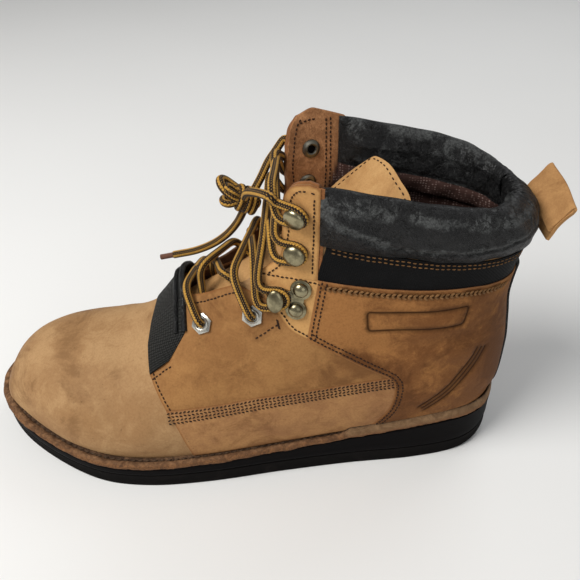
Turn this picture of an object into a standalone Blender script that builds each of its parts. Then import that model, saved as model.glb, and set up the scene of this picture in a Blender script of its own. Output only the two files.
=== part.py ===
"""Lace-up roofing boot for the left foot, as separate pieces in one frame.

The boot stands on the ground plane z = 0. Its toe points to +X, its outer side to +Y. The origin is on the
sole's ground face under the middle of the foot. The tables are in millimetres, with x counted from the
heel's back edge and y from the boot's long axis. The model is in metres.
"""

import math
from collections import namedtuple

import bmesh
import bpy
import numpy as np
from mathutils import Matrix, Vector

MM = 0.001
MID_FOOT = 150.0
GAP = 0.3

UPPER_WALL = 2.2
WELT_THICKNESS = 3.5
WELT_EDGE_INSET = 0.5
WELT_UNDER_UPPER = 3.2
HEEL_LIFT = 0.8
HEEL_LIFT_LENGTH = 16.0
INSOLE_INSET = 5.0
INSOLE_RISE = 3.4
TONGUE_WALL = 3.0

EYELET_ACROSS = 10.5
EYELET_FLANGE = 1.4
EYELET_BARREL = 3.0
EYELET_BARREL_LENGTH = 3.2
EYELET_BORE = 2.3
EYELET_HOLE = 3.6
HOOK_CAP = 5.4
HOOK_STEM = 2.0
HOOK_FOOT = 3.6
HOOK_HEIGHT = 7.0
RIVET_RADIUS = 3.6
PLATE_RADIUS = 5.0
PLATE_THICKNESS = 1.0
SEAT_LIFT = 0.6

LACE_RADIUS = 2.1
LOOP_WIDTH = 28.0
LOOP_STRAP = 1.8

# Sole outline seen from above, counted round from the heel's back along the outer side
OUTLINE = [
    (0, 0), (5, 17), (20, 30), (50, 37.5), (90, 42), (130, 48), (170, 55), (205, 58), (235, 54.5),
    (262, 43.5), (286, 28), (301, 10), (306, -8), (301, -26), (284, -41), (258, -50), (228, -51.5),
    (190, -45), (150, -37), (110, -33), (75, -33), (45, -34.5), (20, -29), (5, -17),
]

# Heights of the sole's layers along the foot: x, ground face, top of the outsole, top of the midsole
SOLE_LAYERS = [
    (0, 7, 15.5, 30), (10, 3, 11.8, 30), (24, 0.6, 9.8, 29.6), (40, 0, 9.5, 28.5), (63, 0, 9.5, 25.6),
    (87, 0, 9.5, 22.6), (150, 0, 9.2, 17.2), (225, 0, 8.8, 14.5), (245, 1.8, 9.8, 15.5),
    (264, 4.4, 11.6, 17.4), (285, 8.4, 14.8, 20.4), (306, 15, 20, 24.5),
]

# Ledge of the welt outside the upper: x, width
LEDGE = [(0, 3.5), (40, 4.0), (100, 4.5), (200, 5.5), (306, 6.5)]

# Sections of the upper, fanned from the toe over the instep to the collar. Each runs from a foot point (on
# the feather line, or up the heel's back where foot_z is given) to a top point on the ridge of the last.
# out_w and in_w are the half-widths, reached at the share swell and kept to the share shoulder, where the
# crown begins. bow rounds the heel, crown_p and crown_q the crown, and gap is half the throat's opening.
Section = namedtuple(
    "Section", "foot_x foot_z top_x top_z ridge_y out_w in_w swell shoulder bow crown_p crown_q gap"
)
SECTIONS = [
    Section(299.5, None, 299.5, 28, -8, -8, -8, .20, .20, 1.0, 2.2, 2.0, 0),
    Section(298.6, None, 298.4, 35.5, -8, 6, -22, .20, .20, 1.0, 2.2, 2.0, 0),
    Section(296, None, 294.5, 43.5, -8, 13, -28, .20, .20, 1.0, 2.2, 2.0, 0),
    Section(290, None, 288, 51, -8, 20, -33, .20, .20, 1.0, 2.3, 2.0, 0),
    Section(280, None, 278.5, 58, -8, 28, -38, .20, .20, 1.0, 2.4, 2.0, 0),
    Section(266, None, 265.5, 63.5, -8, 38, -43, .20, .20, 1.0, 2.4, 2.0, 0),
    Section(248, None, 248, 68, -8, 48, -47, .20, .20, 1.0, 2.3, 1.9, 0),
    Section(228, None, 229, 72, -8, 53.5, -48.5, .20, .20, 1.0, 2.1, 1.8, 0),
    Section(208, None, 210, 79, -7, 55, -46, .20, .20, 1.0, 1.9, 1.75, 0),
    Section(190, None, 196, 92, -6, 53.5, -43, .20, .20, 1.0, 1.8, 1.7, 0),
    Section(170, None, 185, 107, -5, 51, -39.5, .20, .20, 1.0, 1.75, 1.7, 13),
    Section(145, None, 175, 120.5, -4, 48, -37, .20, .20, 1.0, 1.75, 1.7, 21),
    Section(115, None, 165.5, 132.5, -3, 45, -35.5, .20, .25, 1.0, 1.8, 1.7, 24),
    Section(85, None, 157.5, 144, -2, 42, -35, .20, .30, 1.0, 1.9, 1.75, 26),
    Section(55, None, 152, 154.5, -1, 39.5, -35, .22, .35, 1.1, 2.0, 1.8, 26),
    Section(30, None, 148.5, 163.5, 0, 38, -35, .26, .40, 1.3, 2.1, 1.8, 26),
    Section(12, None, 146, 171, 0, 37, -34.5, .32, .45, 1.6, 2.2, 1.8, 24.4),
    Section(3.5, 34.9, 144.5, 177.5, 0, 36.5, -34.5, .36, .48, 1.9, 2.3, 1.9, 24.4),
    Section(1, 48, 144, 182.5, 0, 36.5, -34.5, .38, .50, 2.0, 2.4, 1.9, 24.9),
    Section(1.5, 68, 144, 186, 0, 36.5, -34.5, .40, .50, 2.0, 2.4, 2.0, 25.8),
    Section(4, 88, 144.5, 188.5, 0, 36.5, -34.5, .42, .52, 2.0, 2.5, 2.0, 27.3),
    Section(6.5, 106, 145, 190.5, 0, 37, -35, .42, .52, 2.0, 2.5, 2.0, 28.7),
    Section(5.5, 122, 146, 192, 0, 37.5, -35.5, .42, .54, 2.0, 2.5, 2.0, 30.5),
    Section(2, 138, 147.5, 193.5, 0, 38.5, -36.5, .42, .56, 2.0, 2.5, 2.0, 33.2),
    Section(-1, 152, 149, 195, 0, 39.5, -37.5, .42, .58, 2.0, 2.5, 2.0, 36.5),
]
HEEL_ROUNDING = 13
HEEL_SECTION = 17
COLLAR_PLAN_SECTION = 23
THROAT_START = 9.7
# Share of the throat's half opening that the inner facing leaves: place in the table of sections, share
INNER_GAP = [
    (9.7, 0.97), (11.5, 0.93), (12.5, 0.87), (13.5, 0.86), (15, 0.92), (16.5, 0.955), (18, 0.95), (24, 0.907),
]
# Rows of the upper's mesh along the sections: row, place in the table of sections
UPPER_ROWS = [(0, 0), (12, THROAT_START), (18, 16), (22, HEEL_SECTION), (28, 23), (31, 24)]
UPPER_COLUMNS = 11

# Seam under the padded collar and the collar's rim, seen from the side: x, seam height, rim height
COLLAR_LINES = [(-20, 136, 164), (4, 137.5, 166), (25, 140, 171), (62, 145, 178.5), (106, 151.5, 186)]
# Back edge of the eyelet facing, in front of the collar: height, x
FACING_BACK = [(120, 108), (151.5, 106), (181, 101.5), (205, 99)]
# Padding of the collar in section: distance out from the shaft's face, share of its height
COLLAR_SECTION = [
    (-1.0, 0.0), (3.0, 0.16), (5.0, 0.40), (4.6, 0.64), (2.2, 0.86), (-2.2, 1.0),
    (-6.6, 0.94), (-9.6, 0.74), (-10.4, 0.42), (-9.0, 0.14), (-6.0, 0.0),
]
# The rim falls on the outer side, rises on the inner one and leans forward at the heel
RIM_TILT = {1: -4.5, -1: 2.0}
RIM_LEAN = 6.0
COLLAR_STATIONS = 12

# Tongue along its middle, from under the vamp to its free end: x, z, half-width, drop of its edges
TONGUE_LINE = [
    (206, 75, 17, 4.5), (190, 84.5, 18.5, 5), (170, 99, 19, 5), (150, 112, 19.5, 5), (130, 127, 21, 4),
    (112, 143.5, 22, 2.5), (96, 158, 21, 1), (87, 166, 19, 0), (82, 170.5, 15.5, 0), (79.5, 172.5, 9, 0),
]
# The outer half of the tongue's end lies further back and lower: shift and drop at its corner
TONGUE_SKEW = (-15.0, -4.0)
TONGUE_ROWS = 16
TONGUE_COLUMNS = 6

# Lacing hardware seen from the side, x and z, on the outer facing and then on the inner one
EYELETS = {"lower": [(170, 98.5), (168.6, 93.5)], "upper": [(143, 107.5), (140, 102)]}
PLATE_HOOKS = [(124.5, 119.5), (121.5, 115.5)]
DOMED_HOOKS = {"lower": [(120, 145), (115.3, 152)], "upper": [(119, 167), (113.5, 170.5)]}
PLATE_REACH = 9.0
PLATE_RIVETS = [(-4.2, 5.6), (-6.2, -5.6)]

# Lacing places from the bottom up, and where the lace is beside them: over the facing and past the throat's edge
LACING = [EYELETS["lower"], EYELETS["upper"], PLATE_HOOKS, DOMED_HOOKS["lower"], DOMED_HOOKS["upper"]]
LACE_RISE = 5.3
LACE_PAST = 2.5
LACE_SPACING = 3.0
# Rise of each crossing over the tongue, from the bottom bar up
LACE_BARS = [
    ("lace_bar_bottom", 3), ("lace_crossing_eyelets", 4), ("lace_crossing_ankle", 5),
    ("lace_crossing_middle", 4), ("lace_crossing_top", 3),
]

# Knot and free lace, with the routes' own points in order
KNOT_CENTRE = (146.5, -9, 152)
KNOT_RADII = (6.5, 7.5, 7.0)
LACE_TIES = {
    "lace_tie_outer": [(131, 34, 182), (138, 27, 182), (143, 13, 173.5), (145, 1.2, 160)],
    "lace_tie_inner": [(129, -33, 183), (136, -31, 182), (142, -25, 172.5), (144.5, -18, 159)],
}
LACE_ENDS = {
    "lace_end": [(150, -12, 143.5), (157, -15, 137.5), (165, -18, 130), (175, -20, 121.5), (184, -20.5, 115),
                 (191, -20.5, 109.5)],
}
LACE_LOOPS = {
    "lace_loop_long": [(153.5, -5.5, 156), (158.5, -4, 160), (162.5, -6.5, 163.5), (162.5, -12, 165),
                       (158.5, -14.5, 163), (153, -13.5, 159)],
}

# Pull loop behind the collar, seen from the side, from its lower root round the fold to its upper root
LOOP_PROFILE = [
    (-5.5, 141), (-6.6, 146), (-7.6, 151), (-9.6, 156.5), (-11.9, 161), (-13, 163.6), (-12.2, 165.2),
    (-10.2, 164.2), (-7.9, 160.7), (-5.8, 157.7), (-4.4, 156),
]
# The strap's outer edge hangs back and down: shift and drop for each millimetre across
LOOP_SKEW = (0.17, 0.36)


def smooth(points, column, at):
    """Monotone cubic through one column of a table whose first column runs along it."""
    xs = [row[0] for row in points]
    ys = [row[column] for row in points]
    at = min(max(at, xs[0]), xs[-1])
    steps = [(ys[i + 1] - ys[i]) / (xs[i + 1] - xs[i]) for i in range(len(xs) - 1)]
    slopes = [steps[0]]
    for before, after in zip(steps, steps[1:]):
        slopes.append(0.0 if before * after <= 0 else 2 * before * after / (before + after))
    slopes.append(steps[-1])
    i = min(max(int(np.searchsorted(xs, at, side="right")) - 1, 0), len(xs) - 2)
    h = xs[i + 1] - xs[i]
    t = (at - xs[i]) / h
    return (
        ys[i] * (1 + 2 * t) * (1 - t) ** 2 + h * slopes[i] * t * (1 - t) ** 2
        + ys[i + 1] * t * t * (3 - 2 * t) + h * slopes[i + 1] * t * t * (t - 1)
    )


def curve_through(points, steps, closed=False):
    """Points of a Catmull-Rom curve through the given ones, with so many steps a span."""
    given = [np.array(p, float) for p in points]
    spans = len(given) if closed else len(given) - 1
    line = []
    for i in range(spans):
        if closed:
            a, b, c, d = (given[(i + k) % len(given)] for k in (-1, 0, 1, 2))
        else:
            b, c = given[i], given[i + 1]
            a = given[i - 1] if i > 0 else 2 * b - c
            d = given[i + 2] if i + 2 < len(given) else 2 * c - b
        for t in np.arange(steps) / steps:
            line.append(0.5 * (2 * b + (c - a) * t + (2 * a - 5 * b + 4 * c - d) * t ** 2
                               + (3 * b - a - 3 * c + d) * t ** 3))
    if not closed:
        line.append(given[-1])
    return np.array(line)


def inset_outline(outline, distance):
    """The closed outline moved inwards by a distance that may change along x."""
    along = np.roll(outline, -1, 0) - np.roll(outline, 1, 0)
    inward = np.stack([along[:, 1], -along[:, 0]], 1)
    inward /= np.linalg.norm(inward, axis=1, keepdims=True)
    return outline + inward * np.array([distance(x) for x in outline[:, 0]])[:, None]


class Outline:
    """A closed outline as two half-curves over x, the outer and the inner side of the foot."""

    def __init__(self, points):
        tip = int(np.argmax(points[:, 0]))
        back = int(np.argmin(points[:, 0]))
        count = len(points)
        self.outer = points[[(back + i) % count for i in range((tip - back) % count + 1)]]
        self.inner = points[[(back - i) % count for i in range((back - tip) % count + 1)]]
        self.back = points[back, 0]
        self.tip = points[tip, 0]

    def y(self, x, side):
        half = self.outer if side > 0 else self.inner
        return float(np.interp(x, half[:, 0], half[:, 1]))

    def stations(self, count):
        """Places along x that crowd towards both ends."""
        share = (1 - np.cos(np.linspace(0, math.pi, count))) / 2
        return self.back + (self.tip - self.back) * share


SOLE_CURVE = curve_through(OUTLINE, 12, closed=True)
FEATHER_CURVE = inset_outline(SOLE_CURVE, lambda x: smooth(LEDGE, 1, x))
SOLE = Outline(SOLE_CURVE)
FEATHER = Outline(FEATHER_CURVE)


def ground_z(x):
    return smooth(SOLE_LAYERS, 1, x)


def outsole_z(x):
    return smooth(SOLE_LAYERS, 2, x)


def midsole_z(x):
    return smooth(SOLE_LAYERS, 3, x)


def feather_z(x):
    return midsole_z(x) + GAP + WELT_THICKNESS + GAP


def foot_z(x):
    """The upper's lower edge: on the welt, a little higher round the heel where the wall tips inwards."""
    return feather_z(x) + HEEL_LIFT * max(1 - (x - FEATHER.back) / HEEL_LIFT_LENGTH, 0)


def section_at(u):
    """The section of the upper at the place u, counted in table rows, with its foot widths."""
    row = []
    for column in range(len(Section._fields)):
        table = [(i, foot_z(s.foot_x) if s[column] is None else s[column]) for i, s in enumerate(SECTIONS)]
        row.append(smooth(table, 1, u))
    section = Section(*row)
    if u < HEEL_SECTION:
        section = section._replace(foot_z=foot_z(section.foot_x))
    if u < THROAT_START:
        section = section._replace(gap=0.0)
    return section


def section_y(section, u, share, side):
    """Distance across the boot on a section at a share of the way from its foot to its top."""
    wide = section.out_w if side > 0 else section.in_w
    foot = FEATHER.y(section.foot_x, side) if u < HEEL_SECTION else 0.0
    left = (1 - min(share / section.swell, 1)) ** 2
    if u < HEEL_ROUNDING:
        y = wide + (foot - wide) * left
    else:
        y = wide * (1 - left * (1 - (foot / wide) ** section.bow)) ** (1 / section.bow)
    over = max((share - section.shoulder) / (1 - section.shoulder), 0)
    crown = max(1 - over ** section.crown_p, 0) ** (1 / section.crown_q)
    return section.ridge_y + (y - section.ridge_y) * crown


def throat_share(section, u, side):
    """Share of the section where the throat's edge lies, 1 where the upper is closed."""
    if section.gap <= 0:
        return 1.0
    gap = section.gap if side > 0 else section.gap * smooth(INNER_GAP, 1, u)
    low, high = section.swell, 1.0
    for _ in range(30):
        middle = (low + high) / 2
        if abs(section_y(section, u, middle, side) - section.ridge_y) > gap:
            low = middle
        else:
            high = middle
    return low


def section_point(section, u, share, side):
    x = section.foot_x + share * (section.top_x - section.foot_x)
    z = section.foot_z + share * (section.top_z - section.foot_z)
    return np.array([x, section_y(section, u, share, side), z])


def section_place(x, z):
    """Which section, counted in table rows, passes through a place given in side view."""
    low, high = 1.0, len(SECTIONS) - 1.0
    for _ in range(40):
        middle = (low + high) / 2
        s = section_at(middle)
        if (s.top_x - s.foot_x) * (z - s.foot_z) > (s.top_z - s.foot_z) * (x - s.foot_x):
            low = middle
        else:
            high = middle
    return low


def side_point(x, z, side):
    """The upper's outer face at a place given in side view."""
    u = section_place(x, z)
    s = section_at(u)
    across, up = s.top_x - s.foot_x, s.top_z - s.foot_z
    share = ((x - s.foot_x) * across + (z - s.foot_z) * up) / (across ** 2 + up ** 2)
    return section_point(s, u, share, side)


def side_frame(x, z, side):
    """Place on the upper's outer face: its point, outward direction, and forward direction along it."""
    point = side_point(x, z, side)
    forward = side_point(x + 2, z, side) - side_point(x - 2, z, side)
    upward = side_point(x, z + 2, side) - side_point(x, z - 2, side)
    normal = np.cross(upward, forward) if side > 0 else np.cross(forward, upward)
    return point, normal / np.linalg.norm(normal), forward / np.linalg.norm(forward)


def world(point):
    return Vector(((point[0] - MID_FOOT) * MM, point[1] * MM, point[2] * MM))


def new_collection(name):
    collection = bpy.data.collections.get(name) or bpy.data.collections.new(name)
    if collection.name not in bpy.context.scene.collection.children:
        bpy.context.scene.collection.children.link(collection)
    return collection


def make_material(name, colour, roughness, metallic=0.0):
    material = bpy.data.materials.new(name)
    material.use_nodes = True
    shader = material.node_tree.nodes["Principled BSDF"]
    shader.inputs["Base Color"].default_value = (*colour, 1.0)
    shader.inputs["Roughness"].default_value = roughness
    shader.inputs["Metallic"].default_value = metallic
    return material


def add_piece(name, mesh, material):
    piece = bpy.data.objects.new(name, mesh)
    if not mesh.materials:
        mesh.materials.append(material)
    PARTS.objects.link(piece)
    return piece


def add_cutter(name, mesh):
    cutter = bpy.data.objects.new(name, mesh)
    CUTTERS.objects.link(cutter)
    cutter.hide_render = True
    cutter.display_type = "WIRE"
    return cutter


def finish_mesh(name, shape, smooth_angle=40):
    mesh = bpy.data.meshes.new(name)
    shape.to_mesh(mesh)
    shape.free()
    mesh.shade_smooth()
    mesh.set_sharp_from_angle(angle=math.radians(smooth_angle))
    return mesh


def mapped_grid(rows, columns, place):
    """A bmesh grid whose points are moved to place(row share, column share)."""
    shape = bmesh.new()
    bmesh.ops.create_grid(shape, x_segments=columns, y_segments=rows, size=0.5)
    for vertex in shape.verts:
        vertex.co = world(place(vertex.co.y + 0.5, vertex.co.x + 0.5))
    return shape


def evaluated_mesh(piece):
    """A new mesh of the piece with its modifiers worked in."""
    graph = bpy.context.evaluated_depsgraph_get()
    return bpy.data.meshes.new_from_object(piece.evaluated_get(graph))


def boolean(piece, cutter, operation):
    modifier = piece.modifiers.new(operation.title() + " " + cutter.name, "BOOLEAN")
    modifier.operation = operation
    modifier.object = cutter
    modifier.solver = "EXACT"
    return modifier


def slab(name, outline, low, high, material, draft=0.0):
    """A layer of the sole between two heights that change along the foot."""
    xs = outline.stations(SLAB_ROWS + 1)

    def top_point(row, column):
        x = xs[int(round(row * SLAB_ROWS))]
        return x, outline.y(x, -1) + (outline.y(x, 1) - outline.y(x, -1)) * column, high(x)

    shape = mapped_grid(SLAB_ROWS, SLAB_COLUMNS, top_point)
    bmesh.ops.remove_doubles(shape, verts=shape.verts, dist=GAP * MM * 0.1)
    lower = bmesh.ops.extrude_face_region(shape, geom=shape.faces[:])
    middle = (outline.back + outline.tip) / 2
    for vertex in [v for v in lower["geom"] if isinstance(v, bmesh.types.BMVert)]:
        x = vertex.co.x / MM + MID_FOOT
        vertex.co.z = low(x) * MM
        vertex.co.x -= (x - middle) / (outline.tip - middle) * draft * MM
        vertex.co.y *= 1 - draft / SLAB_HALF_WIDTH
    bmesh.ops.recalc_face_normals(shape, faces=shape.faces[:])
    return add_piece(name, finish_mesh(name, shape), material)


SLAB_ROWS = 26
SLAB_COLUMNS = 4
SLAB_HALF_WIDTH = 50.0
WELT_STEP = 4


def build_sole(materials):
    slab("outsole", SOLE, ground_z, outsole_z, materials["pad"], draft=1.0)
    slab("midsole", SOLE, lambda x: outsole_z(x) + GAP, midsole_z, materials["wedge"])
    bed = Outline(inset_outline(FEATHER_CURVE, lambda x: INSOLE_INSET))
    slab("insole", bed, lambda x: midsole_z(x) + GAP, lambda x: feather_z(x) + INSOLE_RISE,
         materials["insole"])


def build_welt(material):
    """A leather ring between the midsole and the upper's edge."""
    outer = inset_outline(SOLE_CURVE, lambda x: WELT_EDGE_INSET)[::WELT_STEP]
    inner = inset_outline(FEATHER_CURVE, lambda x: WELT_UNDER_UPPER)[::WELT_STEP]
    count = len(outer)

    def top_point(row, column):
        i = int(round(row * count)) % count
        x, y = outer[i] + (inner[i] - outer[i]) * column
        return x, y, midsole_z(x) + GAP + WELT_THICKNESS

    shape = mapped_grid(count, 1, top_point)
    bmesh.ops.remove_doubles(shape, verts=shape.verts, dist=GAP * MM * 0.1)
    lower = bmesh.ops.extrude_face_region(shape, geom=shape.faces[:])
    for vertex in [v for v in lower["geom"] if isinstance(v, bmesh.types.BMVert)]:
        vertex.co.z -= WELT_THICKNESS * MM
    bmesh.ops.recalc_face_normals(shape, faces=shape.faces[:])
    return add_piece("welt", finish_mesh("welt", shape), material)


def upper_point(row, column, side):
    """The upper's outer face: row from toe to collar, column from foot to ridge or throat edge."""
    u = float(np.interp(row * UPPER_ROWS[-1][0], *zip(*UPPER_ROWS)))
    section = section_at(u)
    eased = 0.25 * column + 0.75 * column * column * (3 - 2 * column)
    return section_point(section, u, eased * throat_share(section, u, side), side)


def build_upper(material):
    """One hollow wall: two half faces welded at ridge and heel, thickened inwards, cut for the collar."""
    shape = bmesh.new()
    for side in (1, -1):
        half = mapped_grid(UPPER_ROWS[-1][0], UPPER_COLUMNS,
                           lambda row, column: upper_point(row, column, side))
        part = bpy.data.meshes.new("upper_half")
        half.to_mesh(part)
        half.free()
        shape.from_mesh(part)
        bpy.data.meshes.remove(part)
    bmesh.ops.remove_doubles(shape, verts=shape.verts, dist=GAP * MM * 0.1)
    bmesh.ops.recalc_face_normals(shape, faces=shape.faces[:])
    probe = max(shape.faces, key=lambda face: face.calc_center_median().y)
    if probe.normal.y < 0:
        bmesh.ops.reverse_faces(shape, faces=shape.faces[:])
    upper = add_piece("upper", finish_mesh("upper", shape), material)
    wall = upper.modifiers.new("Wall", "SOLIDIFY")
    wall.thickness = UPPER_WALL * MM
    wall.offset = -1.0
    boolean(upper, collar_cutter(), "DIFFERENCE")
    for cutter in eyelet_hole_cutters():
        boolean(upper, cutter, "DIFFERENCE")
    return upper


def seam_z(x):
    return smooth(COLLAR_LINES, 1, x)


def rim_z(x):
    return smooth(COLLAR_LINES, 2, x)


def facing_x(z):
    return smooth(FACING_BACK, 1, z)


def collar_cutter():
    """The block above the collar's seam and behind the facing."""
    seam = [(x, seam_z(x)) for x in np.linspace(-40, facing_x(seam_z(106)), 12)]
    edge = [(facing_x(z), z) for z in (165, 181, 215)]
    outline = seam + edge + [(-40, 215)]
    shape = bmesh.new()
    ring = [shape.verts.new(world((x, -60, z))) for x, z in outline]
    shape.faces.new(ring)
    side = bmesh.ops.extrude_face_region(shape, geom=shape.faces[:])
    moved = [v for v in side["geom"] if isinstance(v, bmesh.types.BMVert)]
    bmesh.ops.translate(shape, verts=moved, vec=(0, 120 * MM, 0))
    bmesh.ops.recalc_face_normals(shape, faces=shape.faces[:])
    return add_cutter("collar_space", finish_mesh("collar_space", shape))


def eyelet_hole_cutters():
    cutters = []
    for place, spots in EYELETS.items():
        for side_name, side in SIDES.items():
            shape = bmesh.new()
            bmesh.ops.create_cone(shape, cap_ends=True, segments=16, radius1=EYELET_HOLE * MM,
                                  radius2=EYELET_HOLE * MM, depth=16 * MM)
            name = "eyelet_hole_" + place + "_" + side_name
            cutter = add_cutter(name, finish_mesh(name, shape))
            cutter.matrix_world = seat(*spots[side < 0], side, 0.0)
            cutters.append(cutter)
    return cutters


def collar_plan(share, side, z):
    """Plan of the shaft's face from the heel's back (share 0) to the facing (share 1)."""
    section = SECTIONS[COLLAR_PLAN_SECTION]
    reach = facing_x(z) - 2 * GAP - section.foot_x
    x = section.foot_x + reach * share
    along = (x - section.foot_x) / (section.top_x - section.foot_x)
    return np.array([x, section_y(section, COLLAR_PLAN_SECTION, along, side)])


def collar_point(row, column):
    """The padded collar: row from the outer facing round the heel to the inner one, column round it."""
    side = 1 if row < 0.5 else -1
    turn = abs(1 - 2 * row)
    share = turn * turn * (1.4 - 0.4 * turn)
    out, height = COLLAR_RING[int(round(column * len(COLLAR_RING))) % len(COLLAR_RING)]
    x = collar_plan(share, side, COLLAR_MIDDLE_Z)[0]
    z = seam_z(x) + 2 * GAP + (rim_z(x) - seam_z(x)) * max(height, 0)
    here = collar_plan(share, side, z)
    step = 0.02
    ahead = collar_plan(min(share + step, 1), side, z)
    behind = collar_plan(max(share - step, 0), side, z)
    if share < step:
        ahead = collar_plan(step, 1, z)
        behind = collar_plan(step, -1, z)
        side = 1
    along = (ahead - behind) / np.linalg.norm(ahead - behind)
    normal = np.array([-along[1], along[0]]) * side
    taper = 1 - COLLAR_FRONT_TAPER * max(0, (share - 0.8) / 0.2) ** 2
    out = COLLAR_MIDDLE + (out - COLLAR_MIDDLE) * taper
    point = here + normal * out
    z += max(seam_z(point[0]) - seam_z(x), 0)
    top = max(height, 0) ** 2
    z += RIM_TILT[1 if row < 0.5 else -1] * top * min(share / 0.25, 1)
    lean = RIM_LEAN * top * max(1 - share / 0.3, 0)
    return min(point[0] + lean, facing_x(z) - 2 * GAP), point[1], z


COLLAR_RING = curve_through(COLLAR_SECTION, 2, closed=True)
COLLAR_FRONT_TAPER = 0.45
COLLAR_MIDDLE = -2.5
COLLAR_MIDDLE_Z = 165


def build_collar(material):
    """A padded roll that runs in a horseshoe round the shaft's top."""
    shape = mapped_grid(2 * COLLAR_STATIONS, len(COLLAR_RING), collar_point)
    bmesh.ops.remove_doubles(shape, verts=shape.verts, dist=GAP * MM * 0.1)
    bmesh.ops.holes_fill(shape, edges=[e for e in shape.edges if e.is_boundary], sides=0)
    bmesh.ops.recalc_face_normals(shape, faces=shape.faces[:])
    return add_piece("collar", finish_mesh("collar", shape), material)


def tongue_point(row, column):
    count = len(TONGUE_LINE) - 1
    table = [(i, *line) for i, line in enumerate(TONGUE_LINE)]
    x, z, half, drop = (smooth(table, k, row * count) for k in (1, 2, 3, 4))
    across = 2 * column - 1
    turned = (row * row * (3 - 2 * row)) ** 2 * column
    return x + TONGUE_SKEW[0] * turned, across * half, z - drop * across * across + TONGUE_SKEW[1] * turned


def build_tongue(material):
    """A leather flap that runs up under the laces and leans back into the boot's mouth."""
    shape = mapped_grid(TONGUE_ROWS, TONGUE_COLUMNS, tongue_point)
    bmesh.ops.recalc_face_normals(shape, faces=shape.faces[:])
    if sum(face.normal.z for face in shape.faces) < 0:
        bmesh.ops.reverse_faces(shape, faces=shape.faces[:])
    tongue = add_piece("tongue", finish_mesh("tongue", shape), material)
    wall = tongue.modifiers.new("Wall", "SOLIDIFY")
    wall.thickness = TONGUE_WALL * MM
    wall.offset = -1.0
    return tongue


def build_pull_loop(material):
    """A strap folded into a loop behind the collar."""
    line = curve_through(LOOP_PROFILE, 3)
    rows = len(line) - 1

    def place(row, column):
        x, z = line[int(round(row * rows))]
        across = (column - 0.5) * LOOP_WIDTH
        skewed = across * min(row * 2, 1)
        return x - LOOP_SKEW[0] * skewed, across, z - LOOP_SKEW[1] * skewed

    shape = mapped_grid(rows, 2, place)
    loop = add_piece("pull_loop", finish_mesh("pull_loop", shape), material)
    wall = loop.modifiers.new("Strap", "SOLIDIFY")
    wall.thickness = LOOP_STRAP * MM
    wall.offset = 0.0
    return loop


def seat(x, z, side, lift):
    """Matrix on the upper's outer face: Z outwards, X forwards along it."""
    point, normal, forward = side_frame(x, z, side)
    z_axis = Vector(normal)
    x_axis = (Vector(forward) - z_axis * Vector(forward).dot(z_axis)).normalized()
    matrix = Matrix.Identity(4)
    for i, axis in enumerate((x_axis, z_axis.cross(x_axis), z_axis)):
        matrix.col[i][:3] = axis
    matrix.translation = world(point) + z_axis * lift * MM
    return matrix


SIDES = {"outer": 1, "inner": -1}


def cone_mesh(name, segments, radius_low, radius_high, depth, centre):
    shape = bmesh.new()
    bmesh.ops.create_cone(shape, cap_ends=True, segments=segments, radius1=radius_low * MM,
                          radius2=radius_high * MM, depth=depth * MM)
    bmesh.ops.translate(shape, verts=shape.verts, vec=Vector(centre) * MM)
    return finish_mesh(name, shape)


def eyelet_mesh():
    """A hexagonal flange with a round barrel under it and a bore through both."""
    corner = EYELET_ACROSS / math.sqrt(3)
    flange = add_cutter("eyelet_flange", cone_mesh("eyelet", 6, corner, corner * 0.94, EYELET_FLANGE,
                                                   (0, 0, EYELET_FLANGE / 2)))
    barrel = add_cutter("eyelet_barrel", cone_mesh(
        "eyelet_barrel", 16, EYELET_BARREL, EYELET_BARREL, EYELET_BARREL_LENGTH + 0.4,
        (0, 0, 0.2 - EYELET_BARREL_LENGTH / 2)))
    bore = add_cutter("eyelet_bore", cone_mesh("eyelet_bore", 16, EYELET_BORE, EYELET_BORE, 20, (0, 0, 0)))
    boolean(flange, barrel, "UNION")
    boolean(flange, bore, "DIFFERENCE")
    return evaluated_mesh(flange)


def turned_mesh(name, profile, segments):
    """A turned shape from a profile (radius, height) that runs from top to bottom."""
    shape = bmesh.new()
    points = [shape.verts.new((r * MM, 0, z * MM)) for r, z in profile]
    for a, b in zip(points, points[1:]):
        shape.edges.new((a, b))
    turned = add_cutter(name + "_profile", finish_mesh(name + "_profile", shape))
    screw = turned.modifiers.new("Turn", "SCREW")
    screw.steps = segments
    screw.render_steps = segments
    screw.use_merge_vertices = True
    screw.merge_threshold = 0.00001
    mesh = evaluated_mesh(turned)
    mesh.name = name
    mesh.shade_smooth()
    mesh.set_sharp_from_angle(angle=math.radians(40))
    return mesh


def dome(radius, base, height, steps):
    """Profile of a dome from its top to its rim."""
    angles = [math.pi / 2 * i / steps for i in range(steps + 1)]
    return [(radius * math.sin(a), base + height * math.cos(a)) for a in angles]


def hook_mesh():
    """A domed cap over a thin stem on a round foot."""
    cap = dome(HOOK_CAP, 4.2, HOOK_HEIGHT - 4.2, 4)
    foot = [(HOOK_STEM + 1, 3.4), (HOOK_STEM, 2.6), (HOOK_STEM, 1.0), (HOOK_FOOT, 0.7), (HOOK_FOOT, 0), (0, 0)]
    return turned_mesh("domed_hook", cap + foot, 12)


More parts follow.
